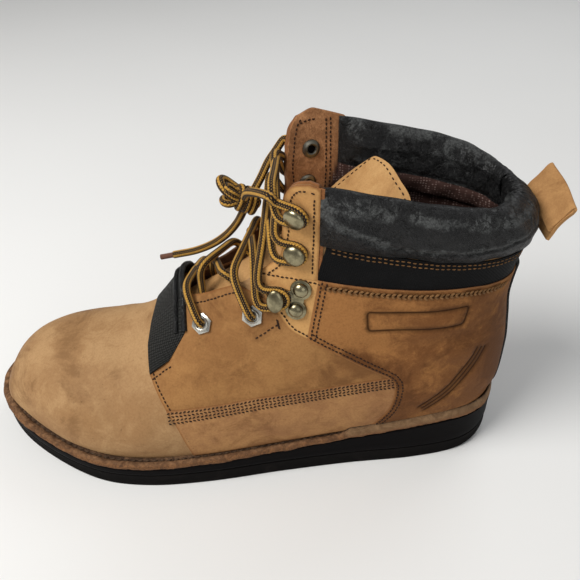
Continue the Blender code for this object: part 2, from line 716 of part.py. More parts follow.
def plate_hook_mesh():
    """A riveted plate whose forward end rises into a hook with an oval face."""
    body = add_cutter("hook_plate", cone_mesh("plate_hook", 12, PLATE_RADIUS, PLATE_RADIUS, PLATE_THICKNESS,
                                              (*PLATE_RIVETS[0], PLATE_THICKNESS / 2)))
    unions = [
        cone_mesh("rear_pad", 12, PLATE_RADIUS, PLATE_RADIUS, PLATE_THICKNESS,
                  (*PLATE_RIVETS[1], PLATE_THICKNESS / 2)),
        box_mesh("neck_pad", (-6.5, -5, 0), (PLATE_REACH - 4, 5, PLATE_THICKNESS)),
        box_mesh("neck", (PLATE_REACH - 5.4, -2.4, 0.2), (PLATE_REACH - 3.6, 2.4, 6.0)),
    ]
    rivet = turned_mesh("rivet", dome(RIVET_RADIUS, PLATE_THICKNESS - 0.3, 2.4, 3)
                        + [(0, PLATE_THICKNESS - 0.3)], 10)
    face = turned_mesh("hook_face", dome(5.6, 5.4, 1.8, 3) + [(5.2, 4.6), (0, 4.6)], 12)
    for mesh in unions:
        boolean(body, add_cutter(mesh.name, mesh), "UNION")
    for place in PLATE_RIVETS:
        cutter = add_cutter("rivet", rivet)
        cutter.location = Vector((*place, 0)) * MM
        boolean(body, cutter, "UNION")
    cap = add_cutter("hook_face", face)
    cap.location = Vector((PLATE_REACH - 3.5, 0, 0)) * MM
    cap.scale = (0.72, 1.0, 1.0)
    boolean(body, cap, "UNION")
    bpy.context.view_layer.update()
    return evaluated_mesh(body)


def box_mesh(name, low, high):
    shape = bmesh.new()
    bmesh.ops.create_cube(shape, size=1.0)
    for vertex in shape.verts:
        vertex.co = [(a + (b - a) * (c + 0.5)) * MM for a, b, c in zip(low, high, vertex.co)]
    return finish_mesh(name, shape)


def build_hardware(materials):
    """Eyelets and hooks on both facings."""
    eyelet = eyelet_mesh()
    hook = hook_mesh()
    plate = plate_hook_mesh()
    for side_name, side in SIDES.items():
        for place, spots in EYELETS.items():
            piece = add_piece("eyelet_" + place + "_" + side_name, eyelet, materials["nickel"])
            piece.matrix_world = seat(*spots[side < 0], side, SEAT_LIFT)
        for place, spots in DOMED_HOOKS.items():
            piece = add_piece("hook_" + place + "_" + side_name, hook, materials["brass"])
            piece.matrix_world = seat(*spots[side < 0], side, SEAT_LIFT)
        piece = add_piece("plate_hook_" + side_name, plate, materials["brass"])
        flip = Matrix.Scale(-1, 4, (0, 1, 0)) if side < 0 else Matrix.Identity(4)
        if side < 0:
            piece.data = plate.copy()
            piece.data.transform(flip)
            piece.data.flip_normals()
        piece.matrix_world = seat(*PLATE_HOOKS[side < 0], side, SEAT_LIFT)


def tube(name, points, radius):
    """A tube along a smooth curve through the points, as a mesh with closed ends."""
    line = curve_through(points, 2)
    data = bpy.data.curves.new(name, "CURVE")
    data.dimensions = "3D"
    spline = data.splines.new("POLY")
    spline.points.add(len(line) - 1)
    for target, point in zip(spline.points, line):
        target.co = (*world(point), 1.0)
    data.bevel_depth = radius * MM
    data.bevel_resolution = 2
    data.use_fill_caps = True
    guide = bpy.data.objects.new(name + "_line", data)
    CUTTERS.objects.link(guide)
    mesh = evaluated_mesh(guide)
    bpy.data.objects.remove(guide)
    shape = bmesh.new()
    shape.from_mesh(mesh)
    bpy.data.meshes.remove(mesh)
    bmesh.ops.remove_doubles(shape, verts=shape.verts, dist=0.00001)
    bmesh.ops.recalc_face_normals(shape, faces=shape.faces[:])
    return finish_mesh(name, shape, 60)


def anchor(place, side, along):
    """Lace at a piece of hardware: over the throat's edge, set off along it from the strand beside."""
    u = section_place(*LACING[place][side < 0])
    section = section_at(u)
    length = math.hypot(section.top_x - section.foot_x, section.top_z - section.foot_z)
    x, _, z = section_point(section, u, throat_share(section, u, side) + LACE_PAST / length, side)
    point, normal, _ = side_frame(x, z, side)
    upward = side_point(x - 3, z + 4, side) - side_point(x + 3, z - 4, side)
    return point + normal * LACE_RISE + upward / np.linalg.norm(upward) * along


def lace_line(start, end, lift):
    """A strand that climbs off one facing, runs flat over the tongue and drops to the other."""
    shares = np.linspace(0, 1, 6)
    return [start + (end - start) * t + np.array([0, 0, lift * (1 - (2 * t - 1) ** 4)]) for t in shares]


def build_laces(material):
    """Crossings over the tongue, then the knot with its ties, loop and end."""
    for level, (name, lift) in enumerate(LACE_BARS):
        if level == 0:
            lines = [lace_line(anchor(0, 1, -LACE_SPACING), anchor(0, -1, -LACE_SPACING), lift)]
        else:
            lines = [lace_line(anchor(level - 1, side, LACE_SPACING), anchor(level, -side, -LACE_SPACING), lift)
                     for side in (1, -1)]
        piece = add_piece(name, tube(name, lines[0], LACE_RADIUS), material)
        for line in lines[1:]:
            boolean(piece, add_cutter(name + "_return", tube(name + "_return", line, LACE_RADIUS)), "UNION")
    knot = bmesh.new()
    bmesh.ops.create_uvsphere(knot, u_segments=12, v_segments=8, radius=1.0)
    for vertex in knot.verts:
        vertex.co = world([c + r * v for c, r, v in zip(KNOT_CENTRE, KNOT_RADII, vertex.co)])
    add_piece("lace_knot", finish_mesh("lace_knot", knot), material)
    for routes in (LACE_TIES, LACE_LOOPS, LACE_ENDS):
        for name, route in routes.items():
            add_piece(name, tube(name, route, LACE_RADIUS), material)


def main():
    materials = {
        "pad": make_material("sole_pad_rubber", (0.028, 0.028, 0.030), 0.85),
        "wedge": make_material("sole_wedge_rubber", (0.012, 0.012, 0.013), 0.7),
        "welt": make_material("welt_leather", (0.36, 0.19, 0.08), 0.7),
        "insole": make_material("insole_board", (0.10, 0.06, 0.04), 0.9),
        "upper": make_material("tan_nubuck", (0.42, 0.24, 0.10), 0.8),
        "collar": make_material("black_collar_leather", (0.02, 0.02, 0.02), 0.55),
        "tongue": make_material("tan_tongue_leather", (0.50, 0.30, 0.14), 0.75),
        "strap": make_material("tan_strap_leather", (0.46, 0.27, 0.12), 0.75),
        "nickel": make_material("nickel_eyelet", (0.60, 0.60, 0.58), 0.3, 1.0),
        "brass": make_material("antique_brass_hook", (0.33, 0.29, 0.20), 0.35, 1.0),
        "lace": make_material("lace_cord", (0.50, 0.30, 0.08), 0.8),
    }
    build_sole(materials)
    build_welt(materials["welt"])
    build_upper(materials["upper"])
    build_collar(materials["collar"])
    build_tongue(materials["tongue"])
    build_pull_loop(materials["strap"])
    build_hardware(materials)
    build_laces(materials["lace"])


for leftover in list(bpy.data.objects):
    bpy.data.objects.remove(leftover, do_unlink=True)
PARTS = new_collection("roofing_boot")
CUTTERS = new_collection("cutters")
main()
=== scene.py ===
"""Looks of a lace-up roofing boot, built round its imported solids.

Lengths in the tables are millimetres in the boot's own measures: x from the heel's back edge to the toe,
y from the long axis to the outer side, z up from the ground. The scene is in metres.
"""

import math
from collections import namedtuple

import bmesh
import bpy
import numpy as np
from bpy.props import FloatProperty, FloatVectorProperty, IntProperty, PointerProperty
from mathutils import Matrix, Vector
from mathutils.geometry import delaunay_2d_cdt

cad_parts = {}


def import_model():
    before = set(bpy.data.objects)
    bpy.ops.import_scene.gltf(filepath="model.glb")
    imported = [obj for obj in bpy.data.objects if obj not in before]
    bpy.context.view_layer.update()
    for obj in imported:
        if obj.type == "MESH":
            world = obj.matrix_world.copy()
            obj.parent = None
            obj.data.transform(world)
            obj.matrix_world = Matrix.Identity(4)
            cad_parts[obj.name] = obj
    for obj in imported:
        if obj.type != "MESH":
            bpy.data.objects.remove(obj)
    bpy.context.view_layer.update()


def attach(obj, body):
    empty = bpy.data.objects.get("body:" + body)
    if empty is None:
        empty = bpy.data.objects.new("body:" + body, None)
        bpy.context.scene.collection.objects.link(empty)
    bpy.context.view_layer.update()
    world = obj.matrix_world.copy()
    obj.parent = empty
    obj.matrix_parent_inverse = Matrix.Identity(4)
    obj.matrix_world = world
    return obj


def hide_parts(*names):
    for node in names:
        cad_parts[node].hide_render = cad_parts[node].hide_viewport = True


bl_info = {
    "name": "Roofing Boot Looks",
    "version": (1, 0, 0),
    "blender": (4, 5, 0),
    "location": "3D View > Sidebar > Boot",
    "description": "Leather, cloth, rubber, thread and laces for a lace-up roofing boot",
    "category": "Object",
}

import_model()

MM = 0.001
MID_FOOT = 150.0
SIDES = {"outer": 1, "inner": -1}
# Points nearer than this become one
WELD = 0.02 * MM

# Sole outline seen from above, counted round from the heel's back along the outer side
OUTLINE = [
    (0, 0), (5, 17), (20, 30), (50, 37.5), (90, 42), (130, 48), (170, 55), (205, 58), (235, 54.5),
    (262, 43.5), (286, 28), (301, 10), (306, -8), (301, -26), (284, -41), (258, -50), (228, -51.5),
    (190, -45), (150, -37), (110, -33), (75, -33), (45, -34.5), (20, -29), (5, -17),
]
# Heights of the sole's layers along the foot: x, ground face, top of the outsole, top of the midsole
SOLE_LAYERS = [
    (0, 7, 15.5, 30), (10, 3, 11.8, 30), (24, 0.6, 9.8, 29.6), (40, 0, 9.5, 28.5), (63, 0, 9.5, 25.6),
    (87, 0, 9.5, 22.6), (150, 0, 9.2, 17.2), (225, 0, 8.8, 14.5), (245, 1.8, 9.8, 15.5),
    (264, 4.4, 11.6, 17.4), (285, 8.4, 14.8, 20.4), (306, 15, 20, 24.5),
]
# Ledge of the welt outside the upper: x, width
LEDGE = [(0, 3.5), (40, 4.0), (100, 4.5), (200, 5.5), (306, 6.5)]
WELT_THICKNESS = 3.5
LAYER_GAP = 0.3
HEEL_LIFT = 0.8
HEEL_LIFT_LENGTH = 16.0

# Sections of the upper, fanned from the toe over the instep to the collar: foot and top points, ridge and
# half-widths, the shares where the side swells and where the crown begins, the rounding of the heel and of
# the crown, and half the throat's opening
Section = namedtuple(
    "Section", "foot_x foot_z top_x top_z ridge_y out_w in_w swell shoulder bow crown_p crown_q gap"
)
SECTIONS = [
    (299.5, None, 299.5, 28, -8, -8, -8, .20, .20, 1.0, 2.2, 2.0, 0),
    (298.6, None, 298.4, 35.5, -8, 6, -22, .20, .20, 1.0, 2.2, 2.0, 0),
    (296, None, 294.5, 43.5, -8, 13, -28, .20, .20, 1.0, 2.2, 2.0, 0),
    (290, None, 288, 51, -8, 20, -33, .20, .20, 1.0, 2.3, 2.0, 0),
    (280, None, 278.5, 58, -8, 28, -38, .20, .20, 1.0, 2.4, 2.0, 0),
    (266, None, 265.5, 63.5, -8, 38, -43, .20, .20, 1.0, 2.4, 2.0, 0),
    (248, None, 248, 68, -8, 48, -47, .20, .20, 1.0, 2.3, 1.9, 0),
    (228, None, 229, 72, -8, 53.5, -48.5, .20, .20, 1.0, 2.1, 1.8, 0),
    (208, None, 210, 79, -7, 55, -46, .20, .20, 1.0, 1.9, 1.75, 0),
    (190, None, 196, 92, -6, 53.5, -43, .20, .20, 1.0, 1.8, 1.7, 0),
    (170, None, 185, 107, -5, 51, -39.5, .20, .20, 1.0, 1.75, 1.7, 13),
    (145, None, 175, 120.5, -4, 48, -37, .20, .20, 1.0, 1.75, 1.7, 21),
    (115, None, 165.5, 132.5, -3, 45, -35.5, .20, .25, 1.0, 1.8, 1.7, 24),
    (85, None, 157.5, 144, -2, 42, -35, .20, .30, 1.0, 1.9, 1.75, 26),
    (55, None, 152, 154.5, -1, 39.5, -35, .22, .35, 1.1, 2.0, 1.8, 26),
    (30, None, 148.5, 163.5, 0, 38, -35, .26, .40, 1.3, 2.1, 1.8, 26),
    (12, None, 146, 171, 0, 37, -34.5, .32, .45, 1.6, 2.2, 1.8, 24.4),
    (3.5, 34.9, 144.5, 177.5, 0, 36.5, -34.5, .36, .48, 1.9, 2.3, 1.9, 24.4),
    (1, 48, 144, 182.5, 0, 36.5, -34.5, .38, .50, 2.0, 2.4, 1.9, 24.9),
    (1.5, 68, 144, 186, 0, 36.5, -34.5, .40, .50, 2.0, 2.4, 2.0, 25.8),
    (4, 88, 144.5, 188.5, 0, 36.5, -34.5, .42, .52, 2.0, 2.5, 2.0, 27.3),
    (6.5, 106, 145, 190.5, 0, 37, -35, .42, .52, 2.0, 2.5, 2.0, 28.7),
    (5.5, 122, 146, 192, 0, 37.5, -35.5, .42, .54, 2.0, 2.5, 2.0, 30.5),
    (2, 138, 147.5, 193.5, 0, 38.5, -36.5, .42, .56, 2.0, 2.5, 2.0, 33.2),
    (-1, 152, 149, 195, 0, 39.5, -37.5, .42, .58, 2.0, 2.5, 2.0, 36.5),
]
LAST_SECTION = len(SECTIONS) - 1
HEEL_ROUNDING = 13
HEEL_SECTION = 17
THROAT_START = 9.7
# Share of the throat's half opening that the inner facing leaves: place in the table of sections, share
INNER_GAP = [
    (9.7, 0.97), (11.5, 0.93), (12.5, 0.87), (13.5, 0.86), (15, 0.92), (16.5, 0.955), (18, 0.95), (24, 0.907),
]
COLLAR_PLAN_SECTION = 23
# The inner facing's top runs level back to the collar, so it rises over its section: the rise, the place in
# the table of sections where it begins, and where it fades in and out along the foot
INNER_RISE = 6.5
INNER_RISE_START = 21.3
INNER_RISE_REAR = (88, 96)
INNER_RISE_FRONT = (123, 111)

# Seam under the padded collar and the collar's rim, seen from the side: x, seam height, rim height
COLLAR_LINES = [(-20, 136, 164), (4, 137.5, 166), (25, 140, 171), (62, 145, 178.5), (106, 151.5, 186)]
# Padding of the collar in section: distance out from the shaft's face, share of its height
COLLAR_SECTION = [
    (-1.0, 0.0), (3.0, 0.16), (5.0, 0.40), (4.6, 0.64), (2.2, 0.86), (-2.2, 1.0),
    (-6.6, 0.94), (-9.6, 0.74), (-10.4, 0.42), (-9.0, 0.14), (-6.0, 0.0),
]
# The rim falls on the outer side, rises on the inner one and leans forward at the heel
RIM_TILT = (-4.5, 2.0)
RIM_LEAN = 6.0
# Where the padding ends in front, on the outer and on the inner side
COLLAR_FRONT = (110.0, 98.5)
# Behind this, on each side, the shell is cut away at a height over the collar's seam
SKIN_REAR = (110.5, 92.5)
SKIN_OVER_SEAM = 5.0
# The padding thins towards its middle over the last share of its length
COLLAR_MIDDLE = -2.5
COLLAR_TAPER = 0.57
COLLAR_TAPER_LENGTH = 0.14
# Usual height of the padding
COLLAR_HEIGHT = 28
# Share of the height up to which the lining covers the padding inside
COLLAR_LINED = 0.36
# Dusty fold along the padding's outside: share of the way from the heel to the front, share of the height
DUST_LINE = [(0, 0.55), (0.25, 0.5), (0.55, 0.3), (0.78, 0.26), (0.9, 0.41), (1, 0.62)]

# Tongue along its middle, from under the vamp to its free end: x, z, half-width, drop of its edges
TONGUE_LINE = [
    (206, 78, 17, 8), (190, 90.5, 18.5, 9), (170, 103, 19, 9), (150, 115, 19.5, 8), (130, 128.5, 21, 5),
    (112, 143.5, 23.5, 2.5), (96, 158, 24.5, 1), (88, 165.2, 23.2, 0.3), (82, 170.8, 21, 0),
    (79, 173.4, 20, 0),
]
# Outline of the tongue's end: share of the way across from the inner side, shift and rise
TONGUE_END = [
    (0, 7, -7), (0.06, 3.4, -2.8), (0.12, 1.4, -0.8), (0.37, -3.6, 0.5), (0.63, -8.5, -3.1),
    (0.87, -13, -9.5), (0.94, -12.5, -13), (1, -10, -17),
]
# Shares of the way along the tongue where its end begins to turn and where it is sewn
TONGUE_TURN = 0.55
TONGUE_HEM = 0.93

# Lacing hardware seen from the side, x and z, on the outer facing and then on the inner one
EYELETS = {"lower": [(170, 98.5), (168.6, 93.5)], "upper": [(143, 107.5), (140, 102)]}
PLATE_HOOKS = [(124.5, 119.5), (121.5, 115.5)]
DOMED_HOOKS = {"lower": [(120, 145), (115.3, 152)], "upper": [(119, 167), (113.5, 170.5)]}
PLATE_RIVETS = [(-4.2, 5.6), (-6.2, -5.6)]
PLATE_NECK = 4.5

# Lacing places from the bottom up, and where the lace is beside them: over the facing, past the throat's edge
# and to each side of the middle between two strands
LACING = [EYELETS["lower"], EYELETS["upper"], PLATE_HOOKS, DOMED_HOOKS["lower"], DOMED_HOOKS["upper"]]
PLATE_LEVEL = 2
LACE_RISE = 5.3
LACE_PAST = 2.5
LACE_SPACING = 3.0
# Rise of the strands over the tongue, from the bottom bar up, and of one half of the lace over the other
LACE_LIFTS = [3, 4, 5, 4, 3]
LACE_OVER = 1.4
# The lace round a hook: height of the turn over the facing, its radius, and the legs' reach and half spread
HOOK_TURN_HEIGHT = 3.4
HOOK_TURN = 5.4
HOOK_LEGS = (11, 5.5)
# Wraps of the knot round its axis: turns, length, radius, and how much higher than wide they are
KNOT_CENTRE = (146.5, -9, 152)
KNOT_AXIS = (0.86, 0.22, 0.45)
KNOT_TURNS = 3.1
KNOT_LENGTH = 11.5
KNOT_RADIUS = 4.3
KNOT_HEIGHT = 1.25
# Folded bights that stick out of the knot: reach along its axis, drop
KNOT_BIGHTS = [(8.5, 1.5), (6.5, -2.4)]
# One leg of a bight: share of its reach, place across, share of its drop
BIGHT_LEG = [(0.0, 2.0, 0.0), (0.6, 3.4, 1.0), (1.0, 2.0, 1.4)]
LACE_TIES = {
    "lace_tie_outer": [(133, 29, 175), (139, 20, 172), (144, 9, 166), (146.5, -1, 158)],
    "lace_tie_inner": [
        (127.5, -32, 174.5), (131.2, -28, 170.7), (135.3, -22, 166.8), (138.8, -15, 161.8), (142.4, -10, 157),
    ],
}
LACE_END = [
    (148.5, -11.5, 144), (152.5, -13.5, 135.5), (158.5, -15.5, 127), (167, -18, 119), (178, -19.7, 113),
    (191, -20.5, 109.5),
]
LACE_LOOP = [
    (148, -6, 152.5), (154, -4.5, 157), (158, -5.5, 161), (159.5, -9.5, 163), (157.5, -13, 161.5),
    (152, -13, 157), (147, -12, 153),
]

# Pull loop behind the collar, seen from the side, from its lower root round the fold to its upper root
LOOP_PROFILE = [
    (-5.5, 141), (-6.6, 146), (-7.6, 151), (-9.6, 156.5), (-11.9, 161), (-13, 163.6), (-12.2, 165.2),
    (-10.2, 164.2), (-7.9, 160.7), (-5.8, 157.7), (-3.2, 154.5), (-1.5, 151.5),
]
# The strap's outer edge hangs back and down: shift and drop for each millimetre across
LOOP_SKEW = (0.17, 0.36)
LOOP_WIDTH = 28.0

# Lines of the sewn panels, seen from the side: x, z
COUNTER_FRONT = [(109.7, 131), (112, 117), (115.3, 97)]
COUNTER_LOWER = [
    (115.3, 97), (95.3, 84.6), (76, 73), (69.5, 68), (67.2, 61.5), (68.6, 48.5), (73.4, 38), (79.5, 29.5),
]
COUNTER_TOP = [(5.3, 122.5), (17.2, 123.5), (40.7, 126.9), (64.3, 127.8), (87, 129.5), (109.7, 131)]
HEEL_BACK = [(34.9, 3.5), (48, 1), (68, 1.5), (88, 4), (106, 6.5), (122.5, 5.3), (138, 2), (152, -1)]
MIDDLE_LOBE = [(115.3, 97), (123.7, 102), (130, 110.5), (136, 117.5), (137.5, 123.5), (134.5, 130)]
MIDDLE_TOP = [(120, 132.3), (107.8, 130.6)]
MIDDLE_BACK = [(107.8, 130.6), (109.5, 117), (113.3, 98), (115.3, 97)]
FACING_BACK = [(109.6, 160), (110.2, 130)]
QUARTER_FRONT = [
    (188.9, 77.3), (200.3, 68.4), (199.6, 67.4), (196.5, 62.5), (192.4, 55.8), (186, 44), (181, 26),
]
QUARTER_BACK = [(118, 112), (60, 66)]
WING_TOP = [(66, 70.5), (73.3, 69.5), (102.7, 65.8), (129.6, 62.8), (160, 58), (191.5, 54.2)]
WING_FRONT = [(191.5, 54.2), (186, 44), (181, 26)]
# Foot of the quarter's and the wing's rear edge, under the counter
PANEL_REAR = 62.0
# Short seam under the upper eyelet, and one of the stitches that bar its end
BAR_SEAM = [(142, 95.4), (129.8, 104.7)]
BAR_STITCH = [(128.6, 103.4), (131.2, 105.6)]
STAMPED_FRAME = [(85.5, 113.9), (34.2, 114.6), (36.0, 103.7), (84.3, 102.5)]
HEEL_GROOVE = [(22.5, 83.7), (26, 73.5), (31.1, 65.1), (39.5, 54), (50, 43.7)]
BAND_FRONT = [(201, 87.5), (202, 83), (202.6, 77.2), (200.3, 68.4)]
BAND_REAR = [(182.5, 110), (180.5, 106), (179.5, 92), (188.9, 77.3)]


def smooth(points, column, at):
    """Monotone cubic through one column of a table whose first column runs along it."""
    xs = np.array([row[0] for row in points], float)
    ys = np.array([row[column] for row in points], float)
    steps = np.diff(ys) / np.diff(xs)
    total = steps[:-1] + steps[1:]
    same = steps[:-1] * steps[1:] > 0
    middle = np.where(same, 2 * steps[:-1] * steps[1:] / np.where(same, total, 1), 0)
    slopes = np.concatenate([steps[:1], middle, steps[-1:]])
    at = np.clip(at, xs[0], xs[-1])
    i = np.clip(np.searchsorted(xs, at, side="right") - 1, 0, len(xs) - 2)
    h = xs[i + 1] - xs[i]
    t = (at - xs[i]) / h
    return (
        ys[i] * (1 + 2 * t) * (1 - t) ** 2 + h * slopes[i] * t * (1 - t) ** 2
        + ys[i + 1] * t * t * (3 - 2 * t) + h * slopes[i + 1] * t * t * (t - 1)
    )


def curve_through(points, steps, closed=False):
    """Points of a Catmull-Rom curve through the given ones, with so many steps a span."""
    given = np.array(points, float)
    if closed:
        padded = np.concatenate([given[-1:], given, given[:2]])
    else:
        padded = np.concatenate([2 * given[:1] - given[1:2], given, 2 * given[-1:] - given[-2:-1]])
    t = (np.arange(steps) / steps)[:, None]
    spans = []
    for a, b, c, d in zip(padded, padded[1:], padded[2:], padded[3:]):
        spans.append(0.5 * (2 * b + (c - a) * t + (2 * a - 5 * b + 4 * c - d) * t ** 2
                            + (3 * b - a - 3 * c + d) * t ** 3))
    line = np.concatenate(spans)
    return line if closed else np.concatenate([line, given[-1:]])


def unit(vectors):
    return vectors / np.maximum(np.linalg.norm(vectors, axis=-1, keepdims=True), 1e-9)


def lengths_along(line):
    return np.concatenate([[0], np.cumsum(np.linalg.norm(np.diff(line, axis=0), axis=1))])


def even_steps(line, step):
    """The line's points again, about a step apart."""
    along = lengths_along(line)
    at = np.linspace(0, along[-1], max(int(round(along[-1] / step)), 1) + 1)
    return np.stack([np.interp(at, along, line[:, k]) for k in range(line.shape[1])], 1)


def even_ring(outline, step):
    """A closed outline's points again, about a step apart."""
    return even_steps(np.concatenate([outline, outline[:1]]), step)[:-1]


def beside(line, distance):
    """A flat line moved to its left by a distance."""
    along = np.gradient(line, axis=0)
    return line + unit(np.stack([-along[:, 1], along[:, 0]], 1)) * distance


def inward_of(outline):
    """Directions into a closed outline at its points."""
    along = np.roll(outline, -1, 0) - np.roll(outline, 1, 0)
    return unit(np.stack([along[:, 1], -along[:, 0]], 1))


def half_outline(outline, side):
    """One side of a closed outline, from its back to its tip, for reading y at x."""
    tip, back, count = int(np.argmax(outline[:, 0])), int(np.argmin(outline[:, 0])), len(outline)
    if side > 0:
        return outline[[(back + i) % count for i in range((tip - back) % count + 1)]]
    return outline[[(back - i) % count for i in range((back - tip) % count + 1)]]


def ledge_at(x):
    return smooth(LEDGE, 1, x)


SOLE_CURVE = curve_through(OUTLINE, 12, closed=True)
FEATHER_CURVE = SOLE_CURVE + inward_of(SOLE_CURVE) * ledge_at(SOLE_CURVE[:, 0])[:, None]
FEATHER = {side: half_outline(FEATHER_CURVE, side) for side in SIDES.values()}
FEATHER_BACK = FEATHER_CURVE[:, 0].min()


def ground_z(x):
    return smooth(SOLE_LAYERS, 1, x)


def outsole_z(x):
    return smooth(SOLE_LAYERS, 2, x)


def midsole_z(x):
    return smooth(SOLE_LAYERS, 3, x)


def welt_top_z(x):
    return midsole_z(x) + LAYER_GAP + WELT_THICKNESS


def foot_z(x):
    """The upper's lower edge on the welt."""
    lift = HEEL_LIFT * np.maximum(1 - (np.asarray(x) - FEATHER_BACK) / HEEL_LIFT_LENGTH, 0)
    return welt_top_z(x) + LAYER_GAP + lift


SECTION_TABLE = [
    (i, row[0], foot_z(row[0]) if row[1] is None else row[1], *row[2:]) for i, row in enumerate(SECTIONS)
]


def section_at(u):
    """The sections of the upper at the places u, counted in table rows."""
    u = np.asarray(u, float)
    section = Section(*(smooth(SECTION_TABLE, k + 1, u) for k in range(len(Section._fields))))
    low = np.where(u < HEEL_SECTION, foot_z(section.foot_x), section.foot_z)
    return section._replace(foot_z=low, gap=np.where(u < THROAT_START, 0.0, section.gap))


def section_y(section, u, share, side):
    """Distance across the boot on a section at a share of the way from its foot to its top."""
    wide = section.out_w if side > 0 else section.in_w
    half = FEATHER[side]
    foot = np.where(u < HEEL_SECTION, np.interp(section.foot_x, half[:, 0], half[:, 1]), 0.0)
    left = (1 - np.minimum(share / section.swell, 1)) ** 2
    toe_side = wide + (foot - wide) * left
    begun = np.clip(foot / np.where(np.abs(wide) < 1, 1, wide), 0, None) ** section.bow
    heel_side = wide * np.clip(1 - left * (1 - begun), 0, None) ** (1 / section.bow)
    y = np.where(u < HEEL_ROUNDING, toe_side, heel_side)
    over = np.clip((share - section.shoulder) / (1 - section.shoulder), 0, 1)
    crown = np.clip(1 - over ** section.crown_p, 0, None) ** (1 / section.crown_q)
    return section.ridge_y + (y - section.ridge_y) * crown


def eased(value, low, high):
    t = np.clip((value - low) / (high - low), 0, 1)
    return t * t * (3 - 2 * t)


def section_places(section, share):
    """Side view of a section at a share of the way up."""
    x = section.foot_x + share * (section.top_x - section.foot_x)
    return x, section.foot_z + share * (section.top_z - section.foot_z)


def section_points(u, share, side):
    section = section_at(u)
    x, z = section_places(section, share)
    if side < 0:
        along_foot = eased(x, *INNER_RISE_REAR) * eased(x, *INNER_RISE_FRONT)
        z = z + INNER_RISE * eased(u, INNER_RISE_START, LAST_SECTION) * along_foot
    return np.stack([x, section_y(section, u, share, side), z], -1)


def throat_share(u, side):
    """Share of each section where the throat's edge lies, 1 where the upper is closed."""
    section = section_at(u)
    gap = section.gap if side > 0 else section.gap * smooth(INNER_GAP, 1, u)
    low, high = section.swell.copy(), np.ones_like(section.swell)
    for _ in range(30):
        middle = (low + high) / 2
        outside = np.abs(section_y(section, u, middle, side) - section.ridge_y) > gap
        low, high = np.where(outside, middle, low), np.where(outside, high, middle)
    return np.where(section.gap <= 0, 1.0, low)


def side_place(x, z):
    """Section and share at places given in side view."""
    x, z = np.asarray(x, float), np.asarray(z, float)
    low, high = np.full(x.shape, 1.0), np.full(x.shape, float(LAST_SECTION))
    for _ in range(36):
        middle = (low + high) / 2
        s = section_at(middle)
        before = (s.top_x - s.foot_x) * (z - s.foot_z) > (s.top_z - s.foot_z) * (x - s.foot_x)
        low, high = np.where(before, middle, low), np.where(before, high, middle)
    s = section_at(low)
    across, up = s.top_x - s.foot_x, s.top_z - s.foot_z
    return low, np.clip(((x - s.foot_x) * across + (z - s.foot_z) * up) / (across ** 2 + up ** 2), 0, 1)


def side_points(x, z, side):
    return section_points(*side_place(x, z), side)


def side_frames(x, z, side):
    """Points on the upper's outer face with the outward and the forward directions there."""
    x, z = np.asarray(x, float), np.asarray(z, float)
    reach = 1.5
    forward = side_points(x + reach, z, side) - side_points(x - reach, z, side)
    upward = side_points(x, z + reach, side) - side_points(x, z - reach, side)
    normal = np.cross(upward, forward) * side
    return side_points(x, z, side), unit(normal), unit(forward)


def seam_z(x):
    return smooth(COLLAR_LINES, 1, x)


def rim_z(x):
    return smooth(COLLAR_LINES, 2, x)


def throat_line(side, start, end, count=40):
    """The throat's edge on one side between two sections, in side view."""
    u = np.linspace(start, end, count)
    return section_points(u, throat_share(u, side), side)[:, [0, 2]]


# Soft creases and dents of the worn leather: two ends of each in the boot's measures, width, depth
CREASES = [
    ((236, 30, 62), (214, 48, 46), 6.0, 0.9),
    ((262, 14, 62), (244, 26, 62), 9.0, 0.8),
    ((222, 8, 72), (216, 34, 62), 4.5, 0.5),
    ((212, -30, 68), (220, -44, 48), 5.0, 0.7),
    ((150, 38, 90), (118, 41, 74), 5.0, 0.9),
    ((166, 42, 76), (140, 44, 60), 5.0, 0.7),
    ((104, 38, 88), (70, 39, 92), 7.0, 0.8),
    ((62, 38, 92), (30, 31, 96), 6.0, 0.9),
    ((44, 36, 78), (24, 29, 70), 6.0, 0.6),
    ((150, -35, 88), (112, -36, 74), 5.0, 0.9),
    ((70, -36, 94), (30, -30, 98), 6.0, 0.9),
]


def crease_depth(points):
    """How far the leather is pushed in at points of the upper."""
    depth = np.zeros(len(points))
    for start, end, width, deep in CREASES:
        a, b = np.array(start, float), np.array(end, float)
        t = np.clip((points - a) @ (b - a) / ((b - a) @ (b - a)), 0, 1)
        off = np.linalg.norm(points - a - t[:, None] * (b - a), axis=1)
        fade = np.sin(np.pi * np.clip(t * 0.84 + 0.08, 0, 1)) ** 0.6
        depth += deep * fade * (np.exp(-(off / width) ** 2) - 0.4 * np.exp(-((off - 2 * width) / width) ** 2))
    return depth


